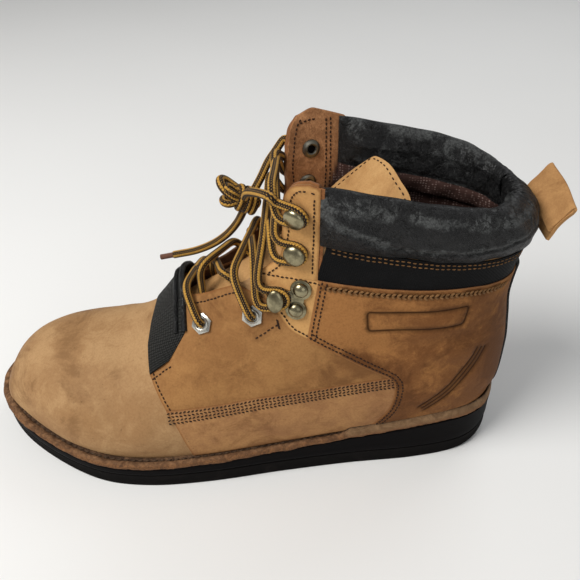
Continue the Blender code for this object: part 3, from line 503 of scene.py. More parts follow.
# Paler and darker places of the leather: centre with y as a distance from the long axis, radius, and how
# much paler or, where negative, darker. Some are rubbed and handled marks; the rest is painted light and
# shade:
# paler on the lit tops of the toe, the vamp and the counter's front, darker towards the heel and the lower
# sides, and a painted shadow along the counter's lower edge
TONES = [
    ((255, 1, 66), 9, -1.0), ((251, 12, 65), 9, -1.0), ((249, 27, 59), 9, -0.9), ((244, 46, 44), 10, -0.6),
    ((273, 7, 59), 12, 0.8), ((240, 10, 70), 14, 0.6), ((210, 14, 74), 17, 1.2), ((253, 36, 52), 8, 0.5),
    ((219, 34, 62), 10, -0.4), ((200, 50, 48), 12, -0.4), ((292, 8, 40), 12, -0.5), ((270, 38, 36), 12, -0.4),
    ((99, 36, 113), 14, 1.1), ((100, 37, 101), 10, 0.9), ((80, 37, 97), 10, 0.6), ((40, 35, 76), 14, -0.3),
    ((57, 38, 52), 10, -1.2), ((54, 36, 99), 8, -0.7), ((14, 23, 92), 22, -1.2), ((10, 20, 58), 20, -1.0),
    ((67, 37, 34), 9, -0.9), ((66, 38, 72), 9, -0.8), ((30, 34, 122), 9, -0.6), ((40, 36, 42), 10, -0.5),
    ((122, 38, 93), 12, 0.7), ((84, 39, 79), 7, -1.4), ((93, 39, 83), 6, -1.0), ((103, 41, 73), 10, -0.4),
    ((140, 40, 84), 12, 0.3), ((92, 41, 56), 9, 0.5), ((76, 39, 46), 7, -0.6), ((150, 44, 45), 12, -0.4),
]


def tone_at(points):
    """How much paler or darker the leather is at points of the boot."""
    folded = points * (1, 0, 1) + np.abs(points) * (0, 1, 0)
    tone = np.zeros(len(points))
    for centre, radius, amount in TONES:
        tone += amount * np.exp(-(np.linalg.norm(folded - np.array(centre, float), axis=1) / radius) ** 2)
    return tone


def on_upper(x, z, side, lift):
    """Points at a height over the worn leather of one side, with the outward directions."""
    point, normal, _ = side_frames(x, z, side)
    return point + normal * (lift - crease_depth(point))[:, None], normal


# The heel is unrolled as half an ellipse, so that a panel cut in side view keeps its width round the back
HEEL_LENGTH = 60
HEEL_HALF_WIDTH = 37
UNROLL_X = np.linspace(0, HEEL_LENGTH, 241)
UNROLL_Y = HEEL_HALF_WIDTH * np.sqrt(np.clip(1 - (1 - UNROLL_X / HEEL_LENGTH) ** 2, 0, 1))
UNROLLED = lengths_along(np.stack([UNROLL_X, UNROLL_Y], 1))


def heel_x(z):
    return smooth(HEEL_BACK, 1, z)


def unroll(x, z):
    """Distance round the shaft from the heel's back line, from a place in side view."""
    behind = np.asarray(x) - heel_x(z)
    return np.interp(behind, UNROLL_X, UNROLLED) + np.maximum(behind - HEEL_LENGTH, 0)


def roll(along, z):
    """Back from the distance round the shaft to x in side view."""
    return heel_x(z) + np.interp(along, UNROLLED, UNROLL_X) + np.maximum(along - UNROLLED[-1], 0)


def unrolled(line, step):
    """A line in side view on the unrolled upper, with its points about a step apart."""
    return even_steps(np.stack([unroll(line[:, 0], line[:, 1]), line[:, 1]], 1), step)


def both_sides(across, points_on):
    """Points from points_on(side): of the outer side where across isn't negative, else of the inner one."""
    return np.where((across >= 0)[:, None], points_on(SIDES["outer"]), points_on(SIDES["inner"]))


def world(points):
    points = np.asarray(points, float)
    return (points - np.array([MID_FOOT, 0, 0])) * MM


def matrix_from(axes, place):
    """Matrix whose columns are three axes and a place."""
    matrix = Matrix.Identity(4)
    for i, axis in enumerate(axes):
        matrix.col[i][:3] = axis
    matrix.translation = place
    return matrix


def new_object(name, shape, materials, smooth_angle):
    """An object at the origin made from a bmesh."""
    mesh = bpy.data.meshes.new(name)
    shape.to_mesh(mesh)
    shape.free()
    mesh.shade_smooth()
    mesh.set_sharp_from_angle(angle=math.radians(smooth_angle))
    for material in materials:
        mesh.materials.append(material)
    made = bpy.data.objects.new(name, mesh)
    bpy.context.scene.collection.objects.link(made)
    return made


FINISHES = {}


def keep(name, shape, finishes, slot, *nodes, smooth_angle=45):
    """A piece that rides on the boot, takes its finishes from those the script made and stands for the named
    solids.
    """
    piece = new_object(name, shape, [FINISHES[finish] for finish in finishes], smooth_angle)
    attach(piece, "root")
    if nodes:
        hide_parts(*nodes)
    return piece


def mapped_grid(rows, columns, place, uv_scale=(1, 1)):
    """A grid whose points go to place(row shares, column shares), with UVs along columns and rows."""
    shape = bmesh.new()
    uv = shape.loops.layers.uv.verify()
    bmesh.ops.create_grid(shape, x_segments=columns, y_segments=rows, size=0.5)
    shares = np.array([vertex.co for vertex in shape.verts]) + 0.5
    points = world(place(shares[:, 1], shares[:, 0]))
    for face in shape.faces:
        for loop in face.loops:
            column, row = loop.vert.co.x + 0.5, loop.vert.co.y + 0.5
            loop[uv].uv = (column * uv_scale[0], row * uv_scale[1])
    for vertex, point in zip(shape.verts, points):
        vertex.co = point
    return shape


def face_out(shape, toward):
    """Turns a sheet's faces so that they look along a direction where they face it most."""
    bmesh.ops.recalc_face_normals(shape, faces=shape.faces[:])
    toward = Vector(toward)
    if sum(face.normal.dot(toward) * face.calc_area() for face in shape.faces) < 0:
        bmesh.ops.reverse_faces(shape, faces=shape.faces[:])


def attribute(shape, name, values):
    layer = shape.verts.layers.float.new(name)
    for vertex, value in zip(shape.verts, values):
        vertex[layer] = float(value)


def thicken(shape, thickness, rim_material=None):
    """Gives an open sheet a wall under its face; the new faces of its edge take another finish."""
    shape.normal_update()
    top = set(shape.faces)
    bmesh.ops.solidify(shape, geom=shape.faces[:], thickness=thickness * MM)
    if rim_material is not None:
        for face in shape.faces:
            if face in top or len(face.verts) != 4:
                continue
            lengths = [edge.calc_length() for edge in face.edges]
            if abs(min(lengths) - thickness * MM) < 0.35 * thickness * MM:
                face.material_index = rim_material


def to_line(points, line):
    """Distance of each place to a line in the same plane."""
    a, b = line[:-1], line[1:]
    d = b - a
    off = points[:, None] - a[None]
    t = np.clip(np.einsum("nsk,sk->ns", off, d) / np.maximum((d * d).sum(1), 1e-9), 0, 1)
    return np.linalg.norm(off - t[..., None] * d[None], axis=2).min(1)


def inside(points, outline):
    """Which places are inside a closed outline."""
    x, y = points[:, 0, None], points[:, 1, None]
    a, b = outline, np.roll(outline, -1, 0)
    crosses = (a[:, 1] > y) != (b[:, 1] > y)
    rise = np.where(b[:, 1] == a[:, 1], 1e-9, b[:, 1] - a[:, 1])
    return (crosses & (x < (b[:, 0] - a[:, 0]) * (y - a[:, 1]) / rise + a[:, 0])).sum(1) % 2 == 1


# Steps along a panel's outline and along a groove pressed into it
PANEL_STEP = 1.3
GROOVE_STEP = 0.9
# A groove's depth, and its half-width at the bottom and at the top
GROOVE_DEPTH = 0.75
GROOVE_BOTTOM = 0.36
GROOVE_TOP = 1.16
# A panel's edge is rounded by this much over this width
EDGE_DROP = 0.3
EDGE_WIDTH = 0.6
# Width along a panel's edge over which its wear can change
WORN_WIDTH = 6.0


def cut_panel(runs, side, lift, thickness, spacing=2.2, grooves=()):
    """A leather panel cut to runs given in side view that meet at its corners, laid on the upper."""
    outline = np.concatenate([unrolled(run, PANEL_STEP)[:-1] for run in runs])
    low, high = outline.min(0), outline.max(0)
    across, up = np.meshgrid(np.arange(low[0], high[0], spacing), np.arange(low[1], high[1], spacing * 0.87))
    across[1::2] += spacing / 2
    fill = np.stack([across.ravel(), up.ravel()], 1)
    fill = fill[inside(fill, outline)]
    closed = np.concatenate([outline, outline[:1]])
    fill = fill[to_line(fill, closed) > 0.55 * spacing]
    flat_grooves = [unrolled(groove, GROOVE_STEP) for groove in grooves]
    for groove in flat_grooves:
        fill = fill[to_line(fill, groove) > 1.3]
        fill = np.concatenate([fill, groove, beside(groove, 0.75), beside(groove, -0.75)])
    coords = [Vector(p) for p in np.concatenate([outline, fill])]
    verts, _, faces, _, _, _ = delaunay_2d_cdt(coords, [], [list(range(len(outline)))], 1, 1e-5)
    flat = np.array([tuple(v) for v in verts])
    edge = to_line(flat, closed)
    sunk = np.zeros(len(flat))
    for groove in flat_grooves:
        wall = (GROOVE_TOP - to_line(flat, groove)) / (GROOVE_TOP - GROOVE_BOTTOM)
        sunk = np.maximum(sunk, np.clip(wall, 0, 1))
    height = lift + thickness - GROOVE_DEPTH * sunk - EDGE_DROP * np.clip(1 - edge / EDGE_WIDTH, 0, 1)
    points, _ = on_upper(roll(flat[:, 0], flat[:, 1]), flat[:, 1], side, height)
    shape = bmesh.new()
    uv = shape.loops.layers.uv.verify()
    made = [shape.verts.new(p) for p in world(points)]
    for corners in faces:
        face = shape.faces.new([made[i] for i in corners])
        for loop, i in zip(face.loops, corners):
            loop[uv].uv = flat[i] * 0.01
    attribute(shape, "edge", np.clip(edge / WORN_WIDTH, 0, 1))
    attribute(shape, "groove", sunk)
    attribute(shape, "tone", tone_at(points))
    face_out(shape, (0, side, 0))
    thicken(shape, thickness, 1)
    return shape


# A stitch's height as a share of its width
STITCH_FLATNESS = 0.84


class Thread:
    """Collects stitches of one thread into one mesh."""

    def __init__(self, length, width):
        self.rows = []
        self.length = length
        self.width = width

    def stitch(self, shape, centre, along, normal, lean):
        along = Vector(along).normalized()
        normal = Vector(normal)
        normal = (normal - along * normal.dot(along)).normalized()
        along.rotate(Matrix.Rotation(lean, 3, normal))
        halves = (self.length / 2, self.width / 2, self.width * STITCH_FLATNESS / 2)
        axes = [axis * half * MM for axis, half in zip((along, normal.cross(along), normal), halves)]
        matrix = matrix_from(axes, Vector(world(centre)))
        bmesh.ops.create_icosphere(shape, subdivisions=1, radius=1.0, matrix=matrix)

    def row(self, points, normals, pitch, lean=0.0):
        """Stitches along a line on a surface."""
        along = lengths_along(points)
        count = max(int(along[-1] / pitch), 1)
        at = (np.arange(count) + 0.5) * along[-1] / count

        def read(values, places):
            return np.stack([np.interp(places, along, values[:, k]) for k in range(3)], 1)

        ahead = read(points, at + 0.4) - read(points, at - 0.4)
        facing = read(normals, at)
        sideways = unit(np.cross(facing, ahead)) * (np.sin(at * 1.7) * 0.12)[:, None]
        shape = bmesh.new()
        for centre, direction, normal in zip(read(points, at) + sideways, ahead, facing):
            self.stitch(shape, centre, direction, normal, lean)
        self.rows.append(shape)

    def sewn(self):
        return merge(*self.rows)

    def row_on_side(self, line, side, lift, pitch, offset=0.0, lean=0.0):
        """Stitches along a line given in side view, moved sideways, on the upper's face."""
        line = even_steps(line, 1.0)
        if offset:
            line = beside(line, offset)
        points, normals = on_upper(line[:, 0], line[:, 1], side, lift)
        self.row(points, normals, pitch, lean)


class Nodes:
    """A material's nodes, built up from one Principled shader."""

    def __init__(self, name, **values):
        self.material = bpy.data.materials.new(name)
        self.material.use_nodes = True
        self.tree = self.material.node_tree
        self.shader = self.tree.nodes["Principled BSDF"]
        for socket, value in values.items():
            self.shader.inputs[socket.replace("_", " ")].default_value = value

    def add(self, kind, settings=None, **inputs):
        node = self.tree.nodes.new("ShaderNode" + kind)
        for name, value in (settings or {}).items():
            setattr(node, name, value)
        for name, value in inputs.items():
            self.put(node.inputs[name.replace("_", " ")], value)
        return node

    def put(self, socket, value):
        if isinstance(value, bpy.types.NodeSocket):
            self.tree.links.new(value, socket)
        else:
            socket.default_value = value

    def coords(self):
        return self.add("TexCoord").outputs["Object"]

    def noise(self, scale, detail=3.0, roughness=0.5, distortion=0.0):
        node = self.add("TexNoise", Scale=scale, Detail=detail, Roughness=roughness, Distortion=distortion)
        self.put(node.inputs["Vector"], self.coords())
        return node.outputs["Fac"]

    def attribute(self, name):
        return self.add("Attribute", {"attribute_name": name}).outputs["Fac"]

    def span(self, value, low, high, to_low=0.0, to_high=1.0):
        node = self.add("MapRange", {"interpolation_type": "SMOOTHSTEP"})
        for i, part in enumerate((value, low, high, to_low, to_high)):
            self.put(node.inputs[i], part)
        return node.outputs["Result"]

    def calc(self, kind, first, second=0.0):
        node = self.add("Math", {"operation": kind})
        self.put(node.inputs[0], first)
        self.put(node.inputs[1], second)
        return node.outputs[0]

    def plus(self, first, second):
        return self.calc("ADD", first, second)

    def times(self, first, second):
        return self.calc("MULTIPLY", first, second)

    def mean(self, first, second):
        return self.times(self.plus(first, second), 0.5)

    def blend(self, share, first, second):
        node = self.add("Mix", {"data_type": "RGBA"})
        self.put(node.inputs[0], share)
        for socket, value in zip(node.inputs[6:8], (first, second)):
            self.put(socket, value if isinstance(value, bpy.types.NodeSocket) else (*value, 1.0))
        return node.outputs[2]

    def bump(self, *layers):
        """Stacked bumps, each of a height, a strength and a distance in millimetres."""
        normal = None
        for height, strength, distance in layers:
            node = self.add("Bump", Height=height, Strength=strength, Distance=distance * MM)
            if normal is not None:
                self.put(node.inputs["Normal"], normal)
            normal = node.outputs["Normal"]
        self.put(self.shader.inputs["Normal"], normal)

    def colour(self, value):
        self.put(self.shader.inputs["Base Color"], value)

    def rough(self, value):
        self.put(self.shader.inputs["Roughness"], value)


def nubuck(name, light, middle, dark, blotch=26.0, edge_colour=None):
    """Oiled nubuck with pale clouds, dark marks and a fine nap; clouds and marks follow the tone table, so
    they hold rubbed and handled places and also painted light and shade.
    """
    m = Nodes(name, Specular_IOR_Level=0.07)
    # The tone holds rubbed and handled places and also painted light and shade
    tone = m.times(m.attribute("tone"), 0.13)
    mottle = m.mean(m.noise(blotch, 6.0, 0.66, 0.5), m.noise(blotch * 3.4, 7.0, 0.7, 0.7))
    clouds = m.span(m.plus(mottle, tone), 0.41, 0.61)
    marks = m.span(m.calc("SUBTRACT", m.noise(blotch * 1.5, 8.0, 0.72, 0.9), tone), 0.50, 0.68)
    speckle = m.noise(blotch * 34, 2.0, 0.7)
    scratch = m.span(m.noise(blotch * 5, 8.0, 0.72, 2.2), 0.55, 0.68)
    base = m.blend(clouds, middle, light)
    base = m.blend(m.times(marks, 0.55), base, dark)
    base = m.blend(m.times(scratch, 0.25), base, light)
    base = m.blend(m.span(speckle, 0.35, 0.75, 0.0, 0.25), base, dark)
    specks = m.span(m.noise(blotch * 22, 1.0, 0.4), 0.75, 0.79, 0.0, 0.25)
    base = m.blend(specks, base, [c * 0.35 for c in dark])
    if edge_colour:
        rim = m.span(m.attribute("edge"), 0.0, 0.22, 0.6, 0.0)
        base = m.blend(rim, base, edge_colour)
        # Painted shade: the bottoms of pressed grooves are darkened almost to black
        base = m.blend(m.times(m.attribute("groove"), 0.92), base, [c * 0.2 for c in dark])
    m.colour(base)
    m.rough(m.span(clouds, 0.0, 1.0, 0.60, 0.82))
    m.bump(
        (m.noise(blotch * 0.9, 3.0, 0.5), 0.5, 3.0),
        (m.noise(blotch * 9, 6.0, 0.65, 0.6), 0.35, 0.4),
        (m.noise(blotch * 80, 2.0, 0.6), 0.4, 0.12),
    )
    return m.material


def suede(name, light, dark, scale=30.0):
    """Brushed suede with a long, uneven nap."""
    m = Nodes(name, Sheen_Weight=0.08, Sheen_Roughness=0.5, Roughness=0.92, Specular_IOR_Level=0.12)
    nap = m.span(m.noise(scale * 14, 6.0, 0.75, 1.0), 0.3, 0.7)
    broad = m.span(m.noise(scale, 4.0, 0.6), 0.35, 0.65)
    m.colour(m.blend(m.mean(nap, broad), dark, light))
    m.bump((m.noise(scale * 40, 4.0, 0.8), 0.6, 0.3))
    return m.material


def cracked_leather(name):
    """Black collar leather, dry and cracked, with grey dust on its folds; the dust mask also paints a
    highlight on the roll's top and light on the inner face.
    """
    m = Nodes(name, Specular_IOR_Level=0.27)
    where = m.coords()
    waves = m.add("TexNoise", Vector=where, Scale=130.0, Detail=4.0, Roughness=0.7).outputs["Color"]
    bent = m.add("VectorMath", {"operation": "MULTIPLY_ADD"})
    for socket, value in zip(bent.inputs, (waves, (0.011, 0.011, 0.011), where)):
        m.put(socket, value)
    cells = m.add("TexVoronoi", {"feature": "DISTANCE_TO_EDGE"}, Scale=170.0, Vector=bent.outputs[0])
    broken = m.span(m.noise(55.0, 4.0, 0.6, 0.5), 0.40, 0.58)
    line = m.span(cells.outputs["Distance"], 0.0, 0.08, 1.0, 0.0)
    cracks = m.times(line, broken)
    fine = m.add("TexVoronoi", {"feature": "DISTANCE_TO_EDGE"}, Scale=700.0, Vector=bent.outputs[0])
    grain = m.span(fine.outputs["Distance"], 0.0, 0.16)
    lumps = m.noise(150.0, 5.0, 0.65, 0.6)
    # The dust attribute is dust, a painted highlight on the roll's top and painted light on the inner face
    dust = m.times(m.attribute("dust"), m.span(m.noise(38.0, 4.0, 0.6, 0.4), 0.32, 0.56, 0.3, 1.0))
    clouds = m.mean(m.noise(75.0, 7.0, 0.7, 0.9), m.noise(300.0, 7.0, 0.75, 0.6))
    patch = m.span(m.plus(clouds, m.times(dust, 0.25)), 0.57, 0.70)
    powder = m.times(patch, m.span(m.noise(900.0, 3.0, 0.7), 0.34, 0.60, 0.25, 1.0))
    base = m.blend(lumps, (0.0035, 0.0035, 0.0037), (0.012, 0.012, 0.0124))
    base = m.blend(m.times(powder, 0.75), base, (0.115, 0.12, 0.118))
    m.colour(m.blend(m.times(cracks, 0.85), base, (0.003, 0.0028, 0.0026)))
    m.rough(m.span(powder, 0.0, 1.0, 0.38, 0.8))
    m.bump((m.calc("SUBTRACT", 1.0, cracks), 0.85, 0.7), (grain, 0.8, 0.3), (lumps, 0.7, 0.9))
    return m.material


def woven(name, colour, pale, across, along, depth=0.35, worn=0.3):
    """Plain-woven webbing on the piece's own UVs, with so many threads to a UV unit."""
    m = Nodes(name, Specular_IOR_Level=0.09)
    uv = m.add("SeparateXYZ", Vector=m.add("UVMap").outputs["UV"])
    u = m.times(uv.outputs[0], across * math.pi)
    v = m.times(uv.outputs[1], along * math.pi)
    warp = m.calc("ABSOLUTE", m.calc("SINE", u))
    weft = m.calc("ABSOLUTE", m.calc("SINE", v))
    over = m.span(m.times(m.calc("SINE", u), m.calc("SINE", v)), -0.25, 0.25)
    weave = m.blend(over, warp, weft)
    dusty = m.span(m.noise(60.0, 5.0, 0.65), 0.45, 0.75, 0.0, worn)
    # Painted highlight and shade: each thread paler on its top, near black between threads
    base = m.blend(weave, [c * 0.12 for c in colour], colour)
    m.colour(m.blend(dusty, base, pale))
    m.rough(m.span(dusty, 0.0, 1.0, 0.62, 0.9))
    m.bump((weave, 0.9, depth), (m.noise(1500.0, 2.0), 0.3, 0.1))
    return m.material


def rubber(name, colour, dust, roughness):
    """Moulded rubber with a fine pitted skin and a little dust."""
    m = Nodes(name, Specular_IOR_Level=0.04)
    patch = m.span(m.noise(60.0, 7.0, 0.72, 0.8), 0.50, 0.74, 0.0, 0.45)
    streak = m.span(m.noise(260.0, 4.0, 0.7, 1.5), 0.57, 0.75, 0.0, 0.4)
    m.colour(m.blend(m.calc("MAXIMUM", patch, streak), colour, dust))
    m.rough(m.span(patch, 0.0, 0.5, roughness, roughness + 0.15))
    m.bump((m.noise(900.0, 3.0, 0.7), 0.35, 0.15), (m.noise(120.0, 4.0), 0.25, 0.4))
    return m.material


def metal(name, colour, dark, roughness):
    """Plated metal that has darkened a little in broad clouds."""
    m = Nodes(name, Metallic=1.0)
    tarnish = m.span(m.noise(180.0, 4.0, 0.6), 0.40, 0.72)
    m.colour(m.blend(tarnish, colour, dark))
    m.rough(m.span(tarnish, 0.0, 1.0, roughness, roughness + 0.10))
    m.bump((m.noise(700.0, 3.0), 0.05, 0.05))
    return m.material


def thread(name, colour):
    m = Nodes(name, Roughness=0.75, Specular_IOR_Level=0.2)
    m.colour(m.blend(m.span(m.noise(500.0, 3.0), 0.35, 0.7), [c * 0.55 for c in colour], colour))
    m.bump((m.noise(2400.0, 1.0), 0.5, 0.1))
    return m.material


def lace_cord(name, gold, dark):
    """Round braid on UVs round and along the cord: gold ribs, and dark ones flecked with pale ticks."""
    m = Nodes(name, Roughness=0.72, Specular_IOR_Level=0.2, Sheen_Weight=0.05)
    uv = m.add("SeparateXYZ", Vector=m.add("UVMap").outputs["UV"])
    lean = m.times(m.calc("PINGPONG", uv.outputs[0], 0.125), 6.0)
    plait = m.calc("ABSOLUTE", m.calc("SINE", m.times(m.plus(uv.outputs[1], lean), math.pi)))
    wobble = m.times(plait, 0.035)
    rib = m.calc("SINE", m.times(m.plus(uv.outputs[0], wobble), 8 * math.pi))
    mask = m.span(rib, 0.08, 0.36)
    fleck = m.span(m.noise(1500.0, 2.0), 0.35, 0.7)
    rich = m.blend(fleck, [c * 0.7 for c in gold], gold)
    ticks = m.times(m.span(plait, 0.86, 0.99), m.span(rib, -1.0, -0.82, 1.0, 0.0))
    inked = m.blend(m.times(ticks, 0.75), dark, gold)
    base = m.blend(mask, inked, rich)
    # Painted shade: darker in the hollows between the plait's strands
    m.colour(m.blend(m.span(plait, 0.0, 0.4, 0.65, 0.0), base, [c * 0.3 for c in dark]))
    m.bump((plait, 0.8, 0.35), (rib, 0.3, 0.3))
    return m.material


def lining_mesh(name):
    """Open knitted lining, red-brown with paler dots, that turns to brushed suede by the throat."""
    m = Nodes(name, Roughness=0.9, Specular_IOR_Level=0.12)
    dots = m.add("TexVoronoi", {"feature": "F1", "distance": "EUCLIDEAN"}, Scale=640.0, Randomness=0.25)
    m.put(dots.inputs["Vector"], m.coords())
    spot = m.span(dots.outputs["Distance"], 0.22, 0.38, 1.0, 0.0)
    knit = m.blend(m.noise(300.0, 2.0), (0.030, 0.0155, 0.0128), (0.074, 0.038, 0.031))
    pale = m.times(spot, m.span(m.noise(90.0), 0.4, 0.6, 0.3, 0.9))
    knit = m.blend(pale, knit, (0.24, 0.17, 0.15))
    brushed = m.span(m.noise(420.0, 6.0, 0.75, 1.0), 0.3, 0.7)
    nap = m.blend(brushed, (0.26, 0.12, 0.052), (0.54, 0.27, 0.124))
    broad = m.span(m.noise(70.0, 4.0, 0.6, 0.6), 0.40, 0.62, 0.0, 0.5)
    nap = m.blend(broad, nap, (0.20, 0.086, 0.036))
    m.colour(m.blend(m.attribute("facing"), knit, nap))
    m.bump((spot, 0.4, 0.3), (m.noise(1200.0, 4.0, 0.8), 0.5, 0.25))
    return m.material


def welt_finish(name):
    """Welt leather: a rubbed top, a ragged raw edge and a dark seam of dirt and painted shade."""
    m = Nodes(name, Specular_IOR_Level=0.22)
    rubbed = m.span(m.noise(110.0, 7.0, 0.72, 1.2), 0.36, 0.64)
    top = m.blend(rubbed, (0.12, 0.058, 0.026), (0.28, 0.152, 0.075))
    rand = m.blend(rubbed, (0.165, 0.090, 0.042), (0.285, 0.168, 0.083))
    heel = m.attribute("heel")
    top = m.blend(heel, top, rand)
    fibres = m.span(m.noise(800.0, 4.0, 0.75, 1.5), 0.3, 0.7)
    raw = m.blend(fibres, (0.10, 0.044, 0.018), (0.30, 0.140, 0.056))
    dirt = m.span(m.noise(190.0, 6.0, 0.75, 1.5), 0.40, 0.60)
    base = m.blend(m.attribute("raw"), top, raw)
    soiled = m.times(dirt, m.span(heel, 0.0, 1.0, 0.6, 0.1))
    base = m.blend(soiled, base, (0.05, 0.024, 0.012))
    # Dirt and painted shade: the seam mask darkens the welt's groove, the strip under the upper and the
    # rand's top edge
    seam = m.times(m.attribute("seam"), m.span(dirt, 0.0, 1.0, 0.55, 1.0))
    m.colour(m.blend(seam, base, (0.028, 0.015, 0.009)))
    m.rough(m.span(fibres, 0.0, 1.0, 0.7, 0.92))
    m.bump((m.noise(260.0, 6.0, 0.7, 1.0), 0.7, 0.6), (fibres, 0.35, 0.2))
    return m.material


def measure(name, description, default):
    """A length that a user may change, given in millimetres."""
    return FloatProperty(name=name, description=description, default=default * MM, unit="LENGTH")


def tint(name, description, default):
    return FloatVectorProperty(name=name, description=description, default=default, subtype="COLOR")


class BootSizes(bpy.types.PropertyGroup):
    """Sizes of the sewn and laced work."""

    wall: measure("Upper wall", "Thickness of the upper's leather and lining", 2.0)
    panel: measure("Panel", "Thickness of a sewn-on leather panel", 0.8)
    stitch: measure("Stitch", "Length of one stitch", 2.0)
    stitch_width: measure("Thread", "Width of the sewing thread", 1.0)
    pitch: measure("Stitch pitch", "From one stitch to the next", 2.25)
    lace: measure("Lace", "Diameter of the lace cord", 4.4)
    skin_rows: IntProperty(
        name="Skin rows", description="Rows of the upper's mesh from toe to collar", default=220
    )
    skin_columns: IntProperty(
        name="Skin columns", description="Columns from the welt to the ridge", default=76
    )


class BootColours(bpy.types.PropertyGroup):
    """Colours of the leathers, thread and lace."""

    # The pale and the dark tan also paint the light and shade held in the tone table
    tan_light: tint("Pale tan", "Palest tone of the nubuck", (0.42, 0.255, 0.122))
    tan: tint("Tan", "Main tone of the nubuck", (0.325, 0.182, 0.081))
    tan_dark: tint("Dark tan", "Tone of the dark marks", (0.17, 0.085, 0.035))
    raw_edge: tint("Cut edge", "Tone of a cut leather edge", (0.20, 0.075, 0.022))
    brown_thread: tint("Brown thread", "Thread of the panels", (0.042, 0.019, 0.010))
    gold_thread: tint("Gold thread", "Thread of the collar's seam", (0.27, 0.135, 0.05))
    lace_gold: tint("Lace gold", "Pale yarn of the lace", (0.58, 0.31, 0.055))
    lace_dark: tint("Lace dark", "Dark yarn of the lace", (0.013, 0.0075, 0.006))


class BootLooks(bpy.types.PropertyGroup):
    """What a user may change on the boot."""

    sizes: PointerProperty(type=BootSizes, name="Sizes", description="Sizes of the sewn and laced work")
    colours: PointerProperty(type=BootColours, name="Colours", description="Colours of the boot")


def looks(context):
    return context.scene.boot_looks


class BOOT_OT_finishes(bpy.types.Operator):
    """Make the materials"""

    bl_idname = "boot.finishes"
    bl_label = "Finishes"

    def execute(self, context):
        colours = looks(context).colours
        raw = tuple(colours.raw_edge)
        FINISHES.update(
            vamp=nubuck(
                "vamp_nubuck", tuple(colours.tan_light), tuple(colours.tan), tuple(colours.tan_dark), 24.0
            ),
            panel=nubuck(
                "panel_nubuck", (0.36, 0.182, 0.066), (0.275, 0.130, 0.046), (0.13, 0.054, 0.019), 26.0, raw
            ),
            wing=nubuck(
                "wing_nubuck", (0.44, 0.232, 0.095), (0.33, 0.162, 0.068), (0.16, 0.068, 0.027), 26.0, raw
            ),
            # The counter's colours are darker than the other panels': darker leather, and painted shade of
            # the heel side under the collar
            counter=nubuck(
                "counter_nubuck", (0.350, 0.158, 0.053), (0.190, 0.077, 0.025), (0.082, 0.030, 0.010), 28.0,
                (0.33, 0.155, 0.058)
            ),
            facing=nubuck(
                "facing_nubuck", (0.60, 0.335, 0.125), (0.53, 0.282, 0.104), (0.29, 0.135, 0.048), 22.0, raw
            ),
            tongue=nubuck(
                "tongue_leather", (0.53, 0.312, 0.130), (0.455, 0.250, 0.098), (0.25, 0.122, 0.045), 30.0
            ),
            loop=nubuck(
                "pull_loop_leather", (0.46, 0.25, 0.10), (0.36, 0.185, 0.072), (0.20, 0.09, 0.033), 34.0
            ),
            raw_edge=suede("cut_leather_edge", (0.33, 0.135, 0.045), (0.12, 0.042, 0.014), 90.0),
            suede=suede("brown_suede", (0.16, 0.072, 0.032), (0.055, 0.022, 0.009)),
            insole=suede("insole_cover", (0.10, 0.06, 0.046), (0.04, 0.024, 0.020), 60.0),
            aglet=suede("lace_tip", (0.16, 0.075, 0.05), (0.09, 0.04, 0.028), 80.0),
            collar=cracked_leather("cracked_collar_leather"),
            binding=cracked_leather("binding_leather"),
            ankle=woven("ankle_nylon", (0.0055, 0.0055, 0.006), (0.014, 0.014, 0.015), 1, 1, 0.18, 0.25),
            vamp_band=woven("vamp_webbing", (0.034, 0.034, 0.032), (0.05, 0.05, 0.047), 15, 58, 0.9, 0.2),
            midsole=rubber("wedge_rubber", (0.0030, 0.0024, 0.0026), (0.009, 0.0072, 0.0068), 0.55),
            outsole=rubber("pad_rubber", (0.006, 0.0052, 0.005), (0.020, 0.017, 0.0155), 0.72),
            welt=welt_finish("welt_leather_rubbed"),
            lining=lining_mesh("knitted_lining"),
            brass=metal("antique_brass_plate", (0.31, 0.272, 0.168), (0.10, 0.086, 0.05), 0.27),
            nickel=metal("nickel_plate", (0.56, 0.55, 0.50), (0.40, 0.39, 0.35), 0.27),
            washer=metal("washer_gunmetal", (0.24, 0.225, 0.18), (0.10, 0.09, 0.075), 0.32),
            brown_thread=thread("brown_thread", tuple(colours.brown_thread)),
            gold_thread=thread("gold_thread", tuple(colours.gold_thread)),
            rope_thread=thread("rope_thread", (0.26, 0.13, 0.048)),
            welt_thread=thread("welt_thread", (0.10, 0.06, 0.035)),
            lace=lace_cord("striped_lace", tuple(colours.lace_gold), tuple(colours.lace_dark)),
        )
        return {"FINISHED"}


# The camera's place in the boot's measures, its angles in degrees and its focal length in the photo's pixels
CAMERA_PLACE = (121.728, 278.855, 315.149)
CAMERA_AZIMUTH = 180.504
CAMERA_ELEVATION = 37.726
CAMERA_ROLL = -0.468
CAMERA_FOCUS_PX = 630.605
FRAME_PX = 580
SKY_STRENGTH = 0.26
FLOOR_HALF = 3.0
# Lamps that shine on the middle of the boot: place in metres, size, power, colour
LAMP_TARGET = (0.0, 0.0, 0.08)
LAMPS = {
    "key_light": ((0.80, 0.45, 1.20), 0.8, 20.5, (1.0, 0.985, 0.96)),
    "side_fill": ((-0.6, 1.5, 0.8), 1.2, 3.5, (0.97, 0.985, 1.0)),
    "back_fill": ((-0.7, -0.9, 1.2), 1.0, 5.0, (0.97, 0.985, 1.0)),
}


